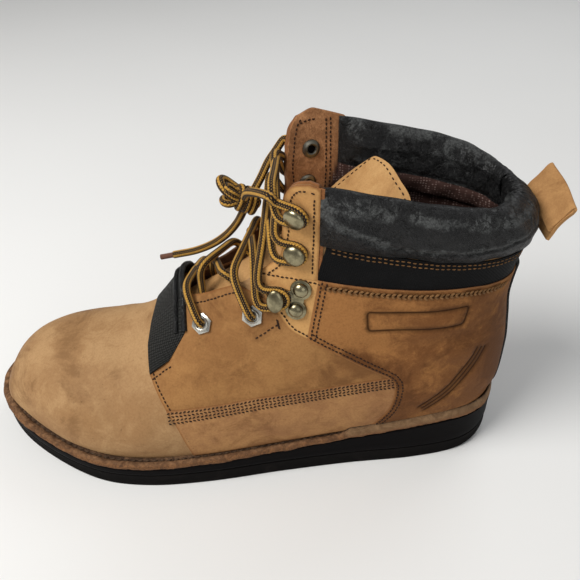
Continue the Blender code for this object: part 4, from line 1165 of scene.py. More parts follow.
class BOOT_OT_stage(bpy.types.Operator):
    """Add the camera, the pale floor and the soft studio light"""

    bl_idname = "boot.stage"
    bl_label = "Stage"

    def execute(self, context):
        self.camera(context.scene)
        self.floor()
        for name, lamp in LAMPS.items():
            self.lamp(context.scene, name, *lamp)
        sky = bpy.data.worlds.new("studio")
        sky.use_nodes = True
        background = sky.node_tree.nodes["Background"]
        background.inputs["Color"].default_value = (1.0, 1.0, 1.0, 1.0)
        background.inputs["Strength"].default_value = SKY_STRENGTH
        context.scene.world = sky
        return {"FINISHED"}

    def camera(self, scene):
        data = bpy.data.cameras.new("photo_camera")
        data.sensor_width = 36.0
        data.lens = CAMERA_FOCUS_PX * data.sensor_width / FRAME_PX
        data.clip_start = 0.01
        camera = bpy.data.objects.new("photo_camera", data)
        scene.collection.objects.link(camera)
        around, above = math.radians(CAMERA_AZIMUTH), math.radians(CAMERA_ELEVATION)
        level = math.cos(above)
        back = Vector((math.sin(around) * level, -math.cos(around) * level, math.sin(above)))
        right = Vector((0, 0, 1)).cross(back).normalized()
        right.rotate(Matrix.Rotation(math.radians(CAMERA_ROLL), 3, back))
        camera.matrix_world = matrix_from((right, back.cross(right), back), Vector(world(CAMERA_PLACE)))
        scene.camera = camera
        scene.view_settings.view_transform = "Standard"

    def floor(self):
        shape = bmesh.new()
        bmesh.ops.create_grid(shape, x_segments=2, y_segments=2, size=FLOOR_HALF)
        paper = Nodes("pale_floor", Roughness=0.9)
        paper.colour(paper.blend(paper.noise(3.0), (0.80, 0.80, 0.79), (0.84, 0.84, 0.83)))
        new_object("floor", shape, [paper.material], 45)

    def lamp(self, scene, name, place, size, power, colour):
        lamp = bpy.data.lights.new(name, "AREA")
        lamp.shape = "DISK"
        lamp.size = size
        lamp.energy = power
        lamp.color = colour
        light = bpy.data.objects.new(name, lamp)
        light.location = place
        light.rotation_euler = (Vector(LAMP_TARGET) - Vector(place)).to_track_quat("-Z", "Y").to_euler()
        scene.collection.objects.link(light)


def softened(line, window, passes=2):
    """A dense line with its sharp turns eased out over a window, its ends kept."""
    line = even_steps(line, 1.0)
    for _ in range(passes):
        before, after = 2 * line[:1] - line[window:0:-1], 2 * line[-1:] - line[-2:-window - 2:-1]
        sums = np.cumsum(np.concatenate([np.zeros((1, 3)), before, line, after]), 0)
        line = (sums[2 * window + 1:] - sums[:-2 * window - 1]) / (2 * window + 1)
    return line


def seal(shape):
    """Welds a shape's seams, closes its open ends and turns its faces outwards."""
    bmesh.ops.remove_doubles(shape, verts=shape.verts, dist=WELD)
    bmesh.ops.holes_fill(shape, edges=[e for e in shape.edges if e.is_boundary], sides=0)
    bmesh.ops.recalc_face_normals(shape, faces=shape.faces[:])


CORD_STEP = 1.1


def tube(points, radius, around=12, uv_pitch=1.3, step=CORD_STEP):
    """A cord's mesh along points in the boot's measures, with UVs round it and along it."""
    line = even_steps(np.asarray(points, float), step)
    ahead = unit(np.gradient(line, axis=0))
    sideways = np.zeros_like(ahead)
    sideways[0] = unit(np.cross(ahead[0], (0.3, 0.2, 1.0)))
    for i in range(1, len(line)):
        sideways[i] = unit(sideways[i - 1] - ahead[i] * (sideways[i - 1] @ ahead[i]))
    upward = np.cross(ahead, sideways)
    rows = len(line) - 1

    def place(row, column):
        i = np.rint(row * rows).astype(int)
        angle = column * 2 * math.pi
        ring = np.cos(angle)[:, None] * sideways[i] + np.sin(angle)[:, None] * upward[i]
        return line[i] + ring * radius

    shape = mapped_grid(rows, around, place, (1.0, lengths_along(line)[-1] / uv_pitch))
    seal(shape)
    return shape


def merge(*shapes):
    """One bmesh from several."""
    whole = bmesh.new()
    for shape in shapes:
        part = bpy.data.meshes.new("part")
        shape.to_mesh(part)
        shape.free()
        whole.from_mesh(part)
        bpy.data.meshes.remove(part)
    return whole


def anchor(place, side, along):
    """Lace at a piece of hardware: over the throat's edge, set off along it from the strand beside."""
    u, _ = side_place(*np.array([LACING[place][side < 0]], float).T)
    s = section_at(u)
    length = np.hypot(s.top_x - s.foot_x, s.top_z - s.foot_z)
    x, _, z = section_points(u, throat_share(u, side) + LACE_PAST / length, side).T
    point, normal, _ = side_frames(x, z, side)
    upward = side_points(x - 3, z + 4, side) - side_points(x + 3, z - 4, side)
    return (point + normal * LACE_RISE + unit(upward) * along)[0]


def lace_span(start, end, lift):
    """A strand that climbs off one facing, runs over the tongue and drops to the other."""
    shares = np.linspace(0, 1, 7)
    return [start + (end - start) * t + np.array([0, 0, lift * (1 - (2 * t - 1) ** 4)]) for t in shares]


def hardware_frame(place, side):
    """A lacing place on the upper, with the outward and the forward directions there."""
    x, z = LACING[place][side < 0]
    return (v[0] for v in side_frames([x], [z], side))


def round_hook(place, side):
    """Points of the lace from the throat round a hook's stem and back."""
    point, normal, forward = hardware_frame(place, side)
    upward = np.cross(normal, forward) * -side
    centre = point + normal * HOOK_TURN_HEIGHT + (forward * PLATE_NECK if place == PLATE_LEVEL else 0)
    turns = np.radians([-52, -100, -150, 180, 150, 100, 52])
    reach, spread = HOOK_LEGS
    below, above = (centre + reach * forward + rise * upward for rise in (-spread, spread))
    round_stem = [centre + HOOK_TURN * (math.cos(a) * forward + math.sin(a) * upward) for a in turns]
    return [below] + round_stem + [above]


def through_eyelet(place, side, outwards):
    """Points of the lace through an eyelet's bore, to or from the outside."""
    point, normal, _ = hardware_frame(place, side)
    line = [point + normal * height for height in (-5.0, -1.5, 2.0, 4.6)]
    return line if outwards else line[::-1]


def under_edge(place, side, along):
    """The lace just under the facing's edge, on its way to the throat."""
    _, normal, _ = hardware_frame(place, side)
    return anchor(place, side, along) - normal * (LACE_RISE + 5.0)


def lace_route(side):
    """One half of the lace, from the middle of the bottom bar up to its top hook."""
    low = -LACE_SPACING
    bar = lace_span(anchor(0, side, low), anchor(0, -side, low), LACE_LIFTS[0])
    points = bar[3::-1] + through_eyelet(0, side, False)
    for level in range(1, len(LACING)):
        here = side if level % 2 else -side
        start, end = anchor(level - 1, here, LACE_SPACING), anchor(level, -here, low)
        strand = lace_span(start, end, LACE_LIFTS[level] + LACE_OVER * side)
        if level == 1:
            strand = [under_edge(0, here, LACE_SPACING)] + strand[1:-1] + [under_edge(1, -here, low)]
            points += strand + through_eyelet(1, -here, True)
        else:
            points += strand[level > PLATE_LEVEL:-1] + round_hook(level, -here)
    return points


class BOOT_OT_laces(bpy.types.Operator):
    """Run the lace through eyelets and round hooks, and tie its knot, loops and end"""

    bl_idname = "boot.laces"
    bl_label = "Laces"

    def execute(self, context):
        radius = looks(context).sizes.lace / MM / 2
        routes = {side: softened(curve_through(lace_route(side), 6), 4) for side in SIDES.values()}
        for name, side, nodes in (
            ("lace_from_outer", 1, ("lace_bar_bottom", "lace_crossing_eyelets", "lace_crossing_middle")),
            ("lace_from_inner", -1, ("lace_crossing_ankle", "lace_crossing_top")),
        ):
            self.cord(name, routes[side], radius, *nodes)
        self.tie_knot(radius)
        for side, (name, given) in zip(SIDES.values(), LACE_TIES.items()):
            self.free_lace(name, [routes[side][-1]] + given, radius, "knot", "taut")
        self.free_lace("lace_loop_long", LACE_LOOP, radius, "knot", "loose")
        self.free_lace("lace_end", LACE_END, radius, "bare", "loose")
        return {"FINISHED"}

    def cord(self, name, route, radius, *nodes):
        return keep(name, tube(route, radius), ["lace"], "lace_cord", *nodes, smooth_angle=70)

    def free_lace(self, name, given, radius, far_end, lay):
        """A length of lace that hangs from the lacing or the knot."""
        route = curve_through(given, 8)
        piece = self.cord(name + "_cord", route, radius, name)
        tips = [self.aglet(route, radius)] if far_end == "bare" else []
        path = world(even_steps(route, CORD_STEP))

    def aglet(self, route, radius):
        """The lace's bound tip, wound a little tighter than the cord."""
        ahead = unit(route[-1] - route[-3])
        tip = np.array([route[-1] + ahead * t for t in (-0.5, 2, 5, 8)])
        shape = tube(tip, radius * 0.72, 12, 1.0, 0.9)
        return keep("lace_end_tip", shape, ["aglet"], "lace_cord", smooth_angle=50)

    def tie_knot(self, radius):
        """Wraps round the bundle, with the folded bights that stick out of it."""
        centre = np.array(KNOT_CENTRE, float)
        axis = unit(np.array(KNOT_AXIS))
        first = unit(np.cross(axis, (0, 0, 1)))
        second = np.cross(axis, first)
        turn = np.linspace(0, 2 * math.pi * KNOT_TURNS, 64)[:, None]
        along = (turn / turn[-1] - 0.5) * KNOT_LENGTH
        ring = np.cos(turn) * first + KNOT_HEIGHT * np.sin(turn) * second
        core = np.array([centre + axis * t for t in np.linspace(-7.5, 7.5, 8)])
        shapes = [tube(centre + axis * along + KNOT_RADIUS * ring, radius * 0.95), tube(core, radius * 1.1)]
        legs = BIGHT_LEG + [(out, -across, down) for out, across, down in BIGHT_LEG[::-1]]
        for reach, drop in KNOT_BIGHTS:
            base = centre + axis * 4.5 - second * drop * 0.5
            bight = [base + axis * reach * out + first * across - second * drop * down
                     for out, across, down in legs]
            shapes.append(tube(curve_through(bight, 6), radius * 0.92))
        keep("lace_knot_wraps", merge(*shapes), ["lace"], "lace_cord", "lace_knot", smooth_angle=70)


# How far the insole stays off the upper's lower edge
BED_INSET = 3.2


class BOOT_OT_sole(bpy.types.Operator):
    """Build the wedge midsole, the ground pad and the insole"""

    bl_idname = "boot.sole"
    bl_label = "Sole"

    def execute(self, context):
        ring = even_ring(SOLE_CURVE, 2.2)
        bed = even_ring(FEATHER_CURVE + inward_of(FEATHER_CURVE) * BED_INSET, 2.5)
        for name, outline, low, high, rounding, waist, look, slot, node in (
            ("midsole_wedge", ring, lambda x: outsole_z(x) + 0.1, midsole_z, 1.2, 0.25,
             "midsole", "sole_wedge", "midsole"),
            ("outsole_pad", ring, ground_z, outsole_z, 0.9, 0.55, "outsole", "sole_pad", "outsole"),
            ("insole_bed", bed, lambda x: midsole_z(x) + 1, lambda x: welt_top_z(x) + 3.4, 1.0, 0.0,
             "insole", "insole_board", "insole"),
        ):
            shape = self.slab(outline, low, high, rounding, waist)
            keep(name, shape, [look], slot, node, smooth_angle=50)
        return {"FINISHED"}

    def slab(self, ring, low, high, rounding, waist):
        """A slab with rounded edges whose side is drawn in a little at mid-height."""
        heights = np.array([0.0, 0.03, 0.10, 0.30, 0.55, 0.80, 0.95, 1.0])
        count, columns = len(ring), len(heights) - 1
        inward = inward_of(ring)

        def place(row, column):
            i = np.rint(row * count).astype(int) % count
            share = heights[np.rint(column * columns).astype(int)]
            x = ring[i, 0]
            edge = np.minimum(share, 1 - share) * (high(x) - low(x))
            inset = rounding * (1 - np.sqrt(np.clip(1 - (1 - np.clip(edge / rounding, 0, 1)) ** 2, 0, 1)))
            inset = inset + waist * np.sin(np.pi * share)
            spot = ring[i] + inward[i] * inset[:, None]
            return np.stack([spot[:, 0], spot[:, 1], low(x) + (high(x) - low(x)) * share], 1)

        shape = mapped_grid(count, columns, place)
        bmesh.ops.remove_doubles(shape, verts=shape.verts, dist=WELD)
        self.close(shape, low, high)
        return shape

    def close(self, shape, low, high):
        """Fills the top and bottom with rings drawn in towards the long axis."""
        for shorter, narrower in ((0.985, 0.9), (0.99, 0.6), (0.99, 0.25)):
            border = [e for e in shape.edges if e.is_boundary]
            made = bmesh.ops.extrude_edge_only(shape, edges=border)
            for vertex in [v for v in made["geom"] if isinstance(v, bmesh.types.BMVert)]:
                x = vertex.co.x / MM + MID_FOOT
                level = high if vertex.co.z / MM > (low(x) + high(x)) / 2 else low
                x = MID_FOOT + (x - MID_FOOT) * shorter
                vertex.co.x = (x - MID_FOOT) * MM
                vertex.co.y *= narrower
                vertex.co.z = float(level(x)) * MM
        bmesh.ops.holes_fill(shape, edges=[e for e in shape.edges if e.is_boundary], sides=0)
        bmesh.ops.triangulate(shape, faces=[f for f in shape.faces if len(f.verts) > 4])
        bmesh.ops.recalc_face_normals(shape, faces=shape.faces[:])


class BOOT_OT_welt(bpy.types.Operator):
    """Sweep the forefoot welt and the heel rand, and sew the welt"""

    bl_idname = "boot.welt"
    bl_label = "Welt"

    # Section of the welt in front and of the rand at the heel: share of the ledge from the sole's edge,
    # height over the midsole, raw edge, and seam darkening, which is dirt and painted shade in the welt's
    # groove, under the upper and along the rand's top edge
    FORE_PROFILE = [
        (0.10, 0.0, 1, 0), (-0.02, 0.5, 1, 0), (-0.08, 1.6, 1, 0), (0.0, 3.0, 1, 0), (0.12, 3.7, 0.4, 0),
        (0.30, 3.85, 0, 0), (0.52, 3.7, 0, 0.1), (0.66, 3.0, 0, 0.9), (0.78, 2.9, 0, 1), (0.92, 3.7, 0, 0.6),
        (1.15, 4.3, 0, 1), (1.5, 3.0, 0, 1),
    ]
    HEEL_PROFILE = [
        (0.35, -0.3, 1, 0), (0.12, 0.3, 1, 0), (0.04, 1.2, 1, 0), (0.05, 2.4, 0.4, 0), (0.10, 4.2, 0, 0),
        (0.18, 5.8, 0, 0), (0.27, 7.0, 0, 0.25), (0.36, 7.7, 0, 0.85), (0.46, 7.9, 0, 1), (0.6, 7.2, 0, 1),
        (0.9, 5.0, 0, 1), (1.4, 3.0, 0, 1),
    ]
    # The rand's front end, and the length over which it runs out into the welt
    HEEL_FRONT = 92.0
    HEEL_RUNOUT = 4.0
    # Share of the ledge at the seam's groove, and the thread's height over the midsole
    SEAM_SHARE = 0.74
    SEAM_HEIGHT = 3.3

    def execute(self, context):
        ring = even_ring(SOLE_CURVE, 1.5)
        inward = inward_of(ring)
        self.strip(ring, inward)
        self.sew(ring, inward)
        return {"FINISHED"}

    def strip(self, ring, inward):
        """The leather strip, swept round the sole with a ragged edge."""
        fore, heel = np.array(self.FORE_PROFILE), np.array(self.HEEL_PROFILE)
        count, columns = len(ring), len(fore) - 1
        rng = np.random.default_rng(7)
        ragged = np.convolve(rng.normal(0, 1, count + 4), np.ones(5) / 5, "valid")

        def profile(row, column):
            i = np.rint(row * count).astype(int) % count
            k = np.rint(column * columns).astype(int)
            x = ring[i, 0]
            heel_share = np.clip((self.HEEL_FRONT - x) / self.HEEL_RUNOUT + 0.5, 0, 1)[:, None]
            return i, x, fore[k] * (1 - heel_share) + heel[k] * heel_share

        def place(row, column):
            i, x, value = profile(row, column)
            rough = ragged[i] * (0.45 * value[:, 2] + 0.4 * value[:, 3])
            spot = ring[i] + inward[i] * (value[:, 0] * ledge_at(x) + rough)[:, None]
            return np.stack([spot[:, 0], spot[:, 1], midsole_z(x) + value[:, 1] + 0.5 * rough], 1)

        shape = bmesh.new()
        bmesh.ops.create_grid(shape, x_segments=columns, y_segments=count, size=0.5)
        shares = np.array([v.co for v in shape.verts]) + 0.5
        _, x, value = profile(shares[:, 1], shares[:, 0])
        attribute(shape, "heel", np.clip(self.HEEL_FRONT - x, 0, 1))
        attribute(shape, "raw", value[:, 2])
        attribute(shape, "seam", value[:, 3])
        for vertex, point in zip(shape.verts, world(place(shares[:, 1], shares[:, 0]))):
            vertex.co = point
        bmesh.ops.remove_doubles(shape, verts=shape.verts, dist=WELD)
        bmesh.ops.bridge_loops(shape, edges=[e for e in shape.edges if e.is_boundary])
        bmesh.ops.recalc_face_normals(shape, faces=shape.faces[:])
        keep("welt_strip", shape, ["welt"], "welt_leather", "welt", smooth_angle=60)

    def sew(self, ring, inward):
        """Heavy, slanted lockstitch in the groove of the forefoot welt."""
        seam = Thread(3.2, 1.3)
        x = ring[:, 0]
        groove = ring + inward * (ledge_at(x) * self.SEAM_SHARE)[:, None]
        line = np.stack([groove[:, 0], groove[:, 1], midsole_z(x) + self.SEAM_HEIGHT], 1)
        fore = np.roll(np.arange(len(x)), -int(np.argmin(x)))
        fore = fore[x[fore] > self.HEEL_FRONT]
        up = np.tile((0.0, 0.0, 1.0), (len(fore), 1))
        seam.row(line[fore], up, 4.1, lean=0.18)
        keep("welt_stitches", seam.sewn(), ["welt_thread"], "welt_leather")


# The inner facing's turned-up edge: places in the table of sections where it starts and ends, and its height
STANDING_EDGE = (10.2, 14.8)
STANDING_HEIGHT = 6.0
# Width of the suede that lines the facing, and the share of the way up where it can begin
LINED_FACING = 33.0
LINED_FROM = 0.3


class BOOT_OT_upper(bpy.types.Operator):
    """Build the upper's leather shell with its lining"""

    bl_idname = "boot.upper"
    bl_label = "Upper"

    def execute(self, context):
        sizes = looks(context).sizes
        shape = merge(*(self.half(sizes, side) for side in SIDES.values()))
        bmesh.ops.remove_doubles(shape, verts=shape.verts, dist=1.5 * WELD)
        bmesh.ops.recalc_face_normals(shape, faces=shape.faces[:])
        probe = max(shape.faces, key=lambda face: face.calc_center_median().y)
        if probe.normal.y < 0:
            bmesh.ops.reverse_faces(shape, faces=shape.faces[:])
        piece = keep("upper_shell", shape, ["vamp", "lining", "raw_edge"], "tan_nubuck", "upper")
        wall = piece.modifiers.new("Wall", "SOLIDIFY")
        wall.thickness = sizes.wall
        wall.offset = -1.0
        wall.material_offset = 1
        wall.material_offset_rim = 2
        self.standing_edge()
        return {"FINISHED"}

    def standing_edge(self):
        """The inner facing's soft edge, turned up along the throat."""
        start, end = STANDING_EDGE
        inner = SIDES["inner"]

        def place(row, column):
            u = start + (end - start) * row
            edge = section_points(u, throat_share(u, inner), inner)
            height = STANDING_HEIGHT * np.sin(np.pi * (0.06 + 0.9 * row)) ** 0.6 + 0.5 * np.sin(row * 23)
            return edge + np.stack([0.8 * column, 1.6 * column, height * column - 1.5 * (1 - column)], 1)

        shape = mapped_grid(60, 6, place)
        face_out(shape, (0, 1, 0))
        thicken(shape, 1.7)
        keep("inner_throat_edge", shape, ["suede"], "tan_nubuck", smooth_angle=60)

    def half(self, sizes, side):
        """One side of the shell, cut away over the collar's seam."""

        def place(row, column):
            u = row * LAST_SECTION
            share = (0.35 * column + 0.65 * eased(column, 0, 1)) * throat_share(u, side)
            points = section_points(u, share, side)
            fore, rear = np.minimum(u + 0.05, LAST_SECTION), np.maximum(u - 0.05, 0)
            high, low = np.minimum(share + 0.004, 1), np.maximum(share - 0.004, 0)
            along = section_points(fore, share, side) - section_points(rear, share, side)
            upward = section_points(u, high, side) - section_points(u, low, side)
            normal = unit(np.cross(upward, -along)) * side
            return points - normal * crease_depth(points)[:, None]

        shape = mapped_grid(sizes.skin_rows, sizes.skin_columns, place)
        uv = shape.loops.layers.uv.verify()
        shares = np.array([vertex.link_loops[0][uv].uv.x for vertex in shape.verts])
        points = np.array([v.co for v in shape.verts]) / MM + np.array([MID_FOOT, 0, 0])
        u, _ = side_place(points[:, 0], points[:, 2])
        off = np.linalg.norm(points - section_points(u, throat_share(u, side), side), axis=1)
        lined = (u > THROAT_START) & (shares > LINED_FROM)
        attribute(shape, "facing", np.where(lined, np.clip((LINED_FACING - off) / 2, 0, 1), 0))
        attribute(shape, "tone", tone_at(points))
        gone = []
        for face in shape.faces:
            c = face.calc_center_median() / MM
            x = c.x + MID_FOOT
            if c.z > seam_z(x) + SKIN_OVER_SEAM and x < SKIN_REAR[side < 0]:
                gone.append(face)
        bmesh.ops.delete(shape, geom=gone, context="FACES")
        return shape


# The panels' lower edge ends this much over the welt, and the counter's so much higher, over the rand
PANEL_OVER_WELT = 0.4
COUNTER_OVER_RAND = 2.5
# Thread lies this much over a panel's face
THREAD_LIFT = 0.1
# The panels overlap: lift of each over the upper in panel thicknesses
WING_LAYER = 0.6
MIDDLE_LAYER = 0.6
COUNTER_LAYER = 1.2
FACING_LIFT = 0.5
# Lift of the strip that backs the upper facing's rear edge
BACKING_LIFT = 0.1
# Height where the upper facing ends on the middle one
FACING_FOOT = 129.5
# Heights between which the middle facing meets the throat, and where its lobe turns to it
MIDDLE_THROAT = (126.5, 132.3)
LOBE_TOP = 124.5
# Part of the counter's top that has the rope seam, and the groove under it
ROPE_SPAN = (14, 106)
ROPE_GROOVE = -3.5
HEEL_GROOVES = (-2.6, 0.0, 2.6)
FRAME_ROUNDING = 2.2


def line_of(points):
    """A smooth line through places in side view."""
    return even_steps(curve_through(points, 8), 1.0)


def straight(a, b):
    return even_steps(np.array([a, b], float), PANEL_STEP)


def foot_line(start, end):
    """The upper's lower edge between two places along the foot, in side view."""
    x = np.linspace(start, end, max(int(abs(end - start) / PANEL_STEP), 2))
    return np.stack([x, foot_z(x) + PANEL_OVER_WELT], 1)


class BOOT_OT_panels(bpy.types.Operator):
    """Cut and sew the leather panels of both sides"""

    bl_idname = "boot.panels"
    bl_label = "Panels"

    def execute(self, context):
        sizes = looks(context).sizes
        self.thick = sizes.panel / MM
        self.wall = sizes.wall / MM
        self.pitch = sizes.pitch / MM
        self.seam = Thread(sizes.stitch / MM, sizes.stitch_width / MM)
        self.rope = Thread(3.1, 1.35)
        for name, side in SIDES.items():
            self.quarter(name, side)
            self.wing(name, side)
            self.upper_facing(name, side)
            self.middle_facing(name, side)
            self.counter(name, side)
        keep("panel_stitches", self.seam.sewn(), ["brown_thread"], "tan_nubuck")
        keep("rope_stitches", self.rope.sewn(), ["rope_thread"], "tan_nubuck")
        return {"FINISHED"}

    def lay(self, name, runs, side, lift, look, **more):
        shape = cut_panel(runs, side, lift, self.thick, **more)
        keep(name, shape, [look, "raw_edge"], "tan_nubuck", smooth_angle=40)

    def over(self, layer):
        """Height of the thread on a panel that lies so many thicknesses over the upper."""
        return (layer + 1) * self.thick + THREAD_LIFT

    def quarter(self, name, side):
        front = line_of(QUARTER_FRONT)
        throat = throat_line(side, 10.35, 12.6)
        corners = [throat[-1], *QUARTER_BACK, (PANEL_REAR, foot_z(PANEL_REAR) + PANEL_OVER_WELT)]
        back = np.concatenate([corners[:1]] + [straight(a, b)[1:] for a, b in zip(corners, corners[1:])])
        runs = [front[::-1], straight(front[0], throat[0]), throat, back, foot_line(PANEL_REAR, front[-1][0])]
        runs[-1][-1] = front[-1]
        self.lay("quarter_" + name, runs, side, 0.0, "panel")
        lift = self.over(0)
        for line in (QUARTER_FRONT[1:], QUARTER_FRONT[:2]):
            self.seam.row_on_side(line_of(line), side, lift, self.pitch, offset=-2.2)
        self.seam.row_on_side(throat_line(side, 10.5, 12.4), side, lift, self.pitch, offset=3.2)
        self.seam.row_on_side(straight(*BAR_SEAM), side, lift, self.pitch)
        for t in np.linspace(-2.0, 2.0, 5):
            bar = straight(*(np.array(BAR_STITCH) + (t * 0.2, t)))
            self.seam.row_on_side(bar, side, lift, 3.0)

    def wing(self, name, side):
        top, front = line_of(WING_TOP), line_of(WING_FRONT)
        back = straight((PANEL_REAR, foot_z(PANEL_REAR) + PANEL_OVER_WELT), top[0])
        runs = [top, front, foot_line(front[-1][0], PANEL_REAR), back]
        runs[2][0] = front[-1]
        self.lay("wing_" + name, runs, side, WING_LAYER * self.thick, "wing")
        for offset, lean in ((1.4, 0.5), (3.3, -0.5), (5.2, 0.5), (7.1, -0.5)):
            self.seam.row_on_side(top, side, self.over(WING_LAYER), 2.2, offset=-offset, lean=lean)

    def upper_facing(self, name, side):
        throat = throat_line(side, 13.4, LAST_SECTION, 85)
        throat = throat[throat[:, 1] > FACING_FOOT]
        u = np.full(30, float(LAST_SECTION))
        share = np.linspace(throat_share(u[:1], side)[0], 0.74, 30)
        top = np.stack(section_places(section_at(u), share), 1)
        top[0] = throat[-1]
        back = line_of([top[-1]] + FACING_BACK)
        self.lay("upper_facing_" + name, [throat, top, back, straight(FACING_BACK[-1], throat[0])], side,
                 FACING_LIFT, "facing")
        strip = back - np.array([1.7, 0.3])
        runs = [back, straight(back[-1], strip[-1]), strip[::-1], straight(strip[0], back[0])]
        self.lay("facing_backing_" + name, runs, side, BACKING_LIFT, "raw_edge", spacing=1.2)
        rows = [beside(throat, 3.2)[3:-2], back[6:-4] + (2.6, 0), (top + (0.4, -3.4))[3:-4]]
        for row in rows:
            self.seam.row_on_side(row, side, self.thick + FACING_LIFT + THREAD_LIFT, self.pitch)
        if side < 0:
            self.inside_seams(throat, top, back, side)

    def inside_seams(self, throat, top, back, side):
        """The inner facing's seams, seen from inside the boot."""
        rows = [beside(throat, 3.4)[3:-2], (top + (0.4, -3.6))[3:-2]]
        rows += [back[4:-4] - (behind, 0) for behind in (4.5, 6.9)]
        for row in rows:
            self.seam.row_on_side(row, side, -self.wall - THREAD_LIFT, self.pitch)

    def middle_facing(self, name, side):
        lobe = line_of(MIDDLE_LOBE)
        low, high = MIDDLE_THROAT
        throat = throat_line(side, 13.2, 16.2, 50)
        throat = throat[(throat[:, 1] > low) & (throat[:, 1] < high)]
        lobe = np.concatenate([lobe[lobe[:, 1] < LOBE_TOP], throat[:1]])
        top = line_of([throat[-1]] + MIDDLE_TOP)
        runs = [lobe, throat, top, line_of(MIDDLE_BACK)]
        self.lay("middle_facing_" + name, runs, side, MIDDLE_LAYER * self.thick, "facing")
        for line in (lobe, top):
            self.seam.row_on_side(line, side, self.over(MIDDLE_LAYER), self.pitch, offset=2.0)

    def stamped_frame(self):
        """The frame pressed into the counter, with rounded corners."""
        corners = np.array(STAMPED_FRAME)
        ring = []
        for corner, before, after in zip(corners, np.roll(corners, 1, 0), np.roll(corners, -1, 0)):
            ring += [corner + unit(before - corner) * FRAME_ROUNDING,
                     corner + (before + after - 2 * corner) / 90.0,
                     corner + unit(after - corner) * FRAME_ROUNDING]
        return even_steps(np.array(ring + ring[:1]), 1.0)

    def counter(self, name, side):
        front, lower, top = (line_of(line) for line in (COUNTER_FRONT, COUNTER_LOWER, COUNTER_TOP))
        foot = foot_line(lower[-1][0], FEATHER_BACK + 0.05) + (0, COUNTER_OVER_RAND)
        foot[0] = lower[-1]
        z = np.linspace(foot[-1][1], top[0][1], 70)
        back = np.stack([heel_x(z) + 0.05, z], 1)
        back[0], back[-1] = foot[-1], top[0]
        rope = top[(top[:, 0] > ROPE_SPAN[0]) & (top[:, 0] < ROPE_SPAN[1])]
        # The nubuck paints these grooves dark, as painted shade
        grooves = [beside(line_of(HEEL_GROOVE), offset) for offset in HEEL_GROOVES]
        grooves += [self.stamped_frame(), beside(rope, ROPE_GROOVE)]
        self.lay("counter_" + name, [front, lower, foot, back, top], side, COUNTER_LAYER * self.thick,
                 "counter", grooves=grooves)
        lift = self.over(COUNTER_LAYER)
        for offset in (1.8, 4.2):
            for line in (front, lower):
                self.seam.row_on_side(line, side, lift, self.pitch, offset=-offset)
        for offset, lean in ((2.7, 0.6), (4.3, -0.6)):
            self.rope.row_on_side(rope, side, lift, 2.6, offset=-offset, lean=lean)


# The ankle band's front end, and how far it reaches under the counter's top edge
ANKLE_FRONT = 109.5
ANKLE_UNDER = 3.5
# Lower and upper end of the strip up the heel's back
STRIP_HEIGHTS = (36, 124)


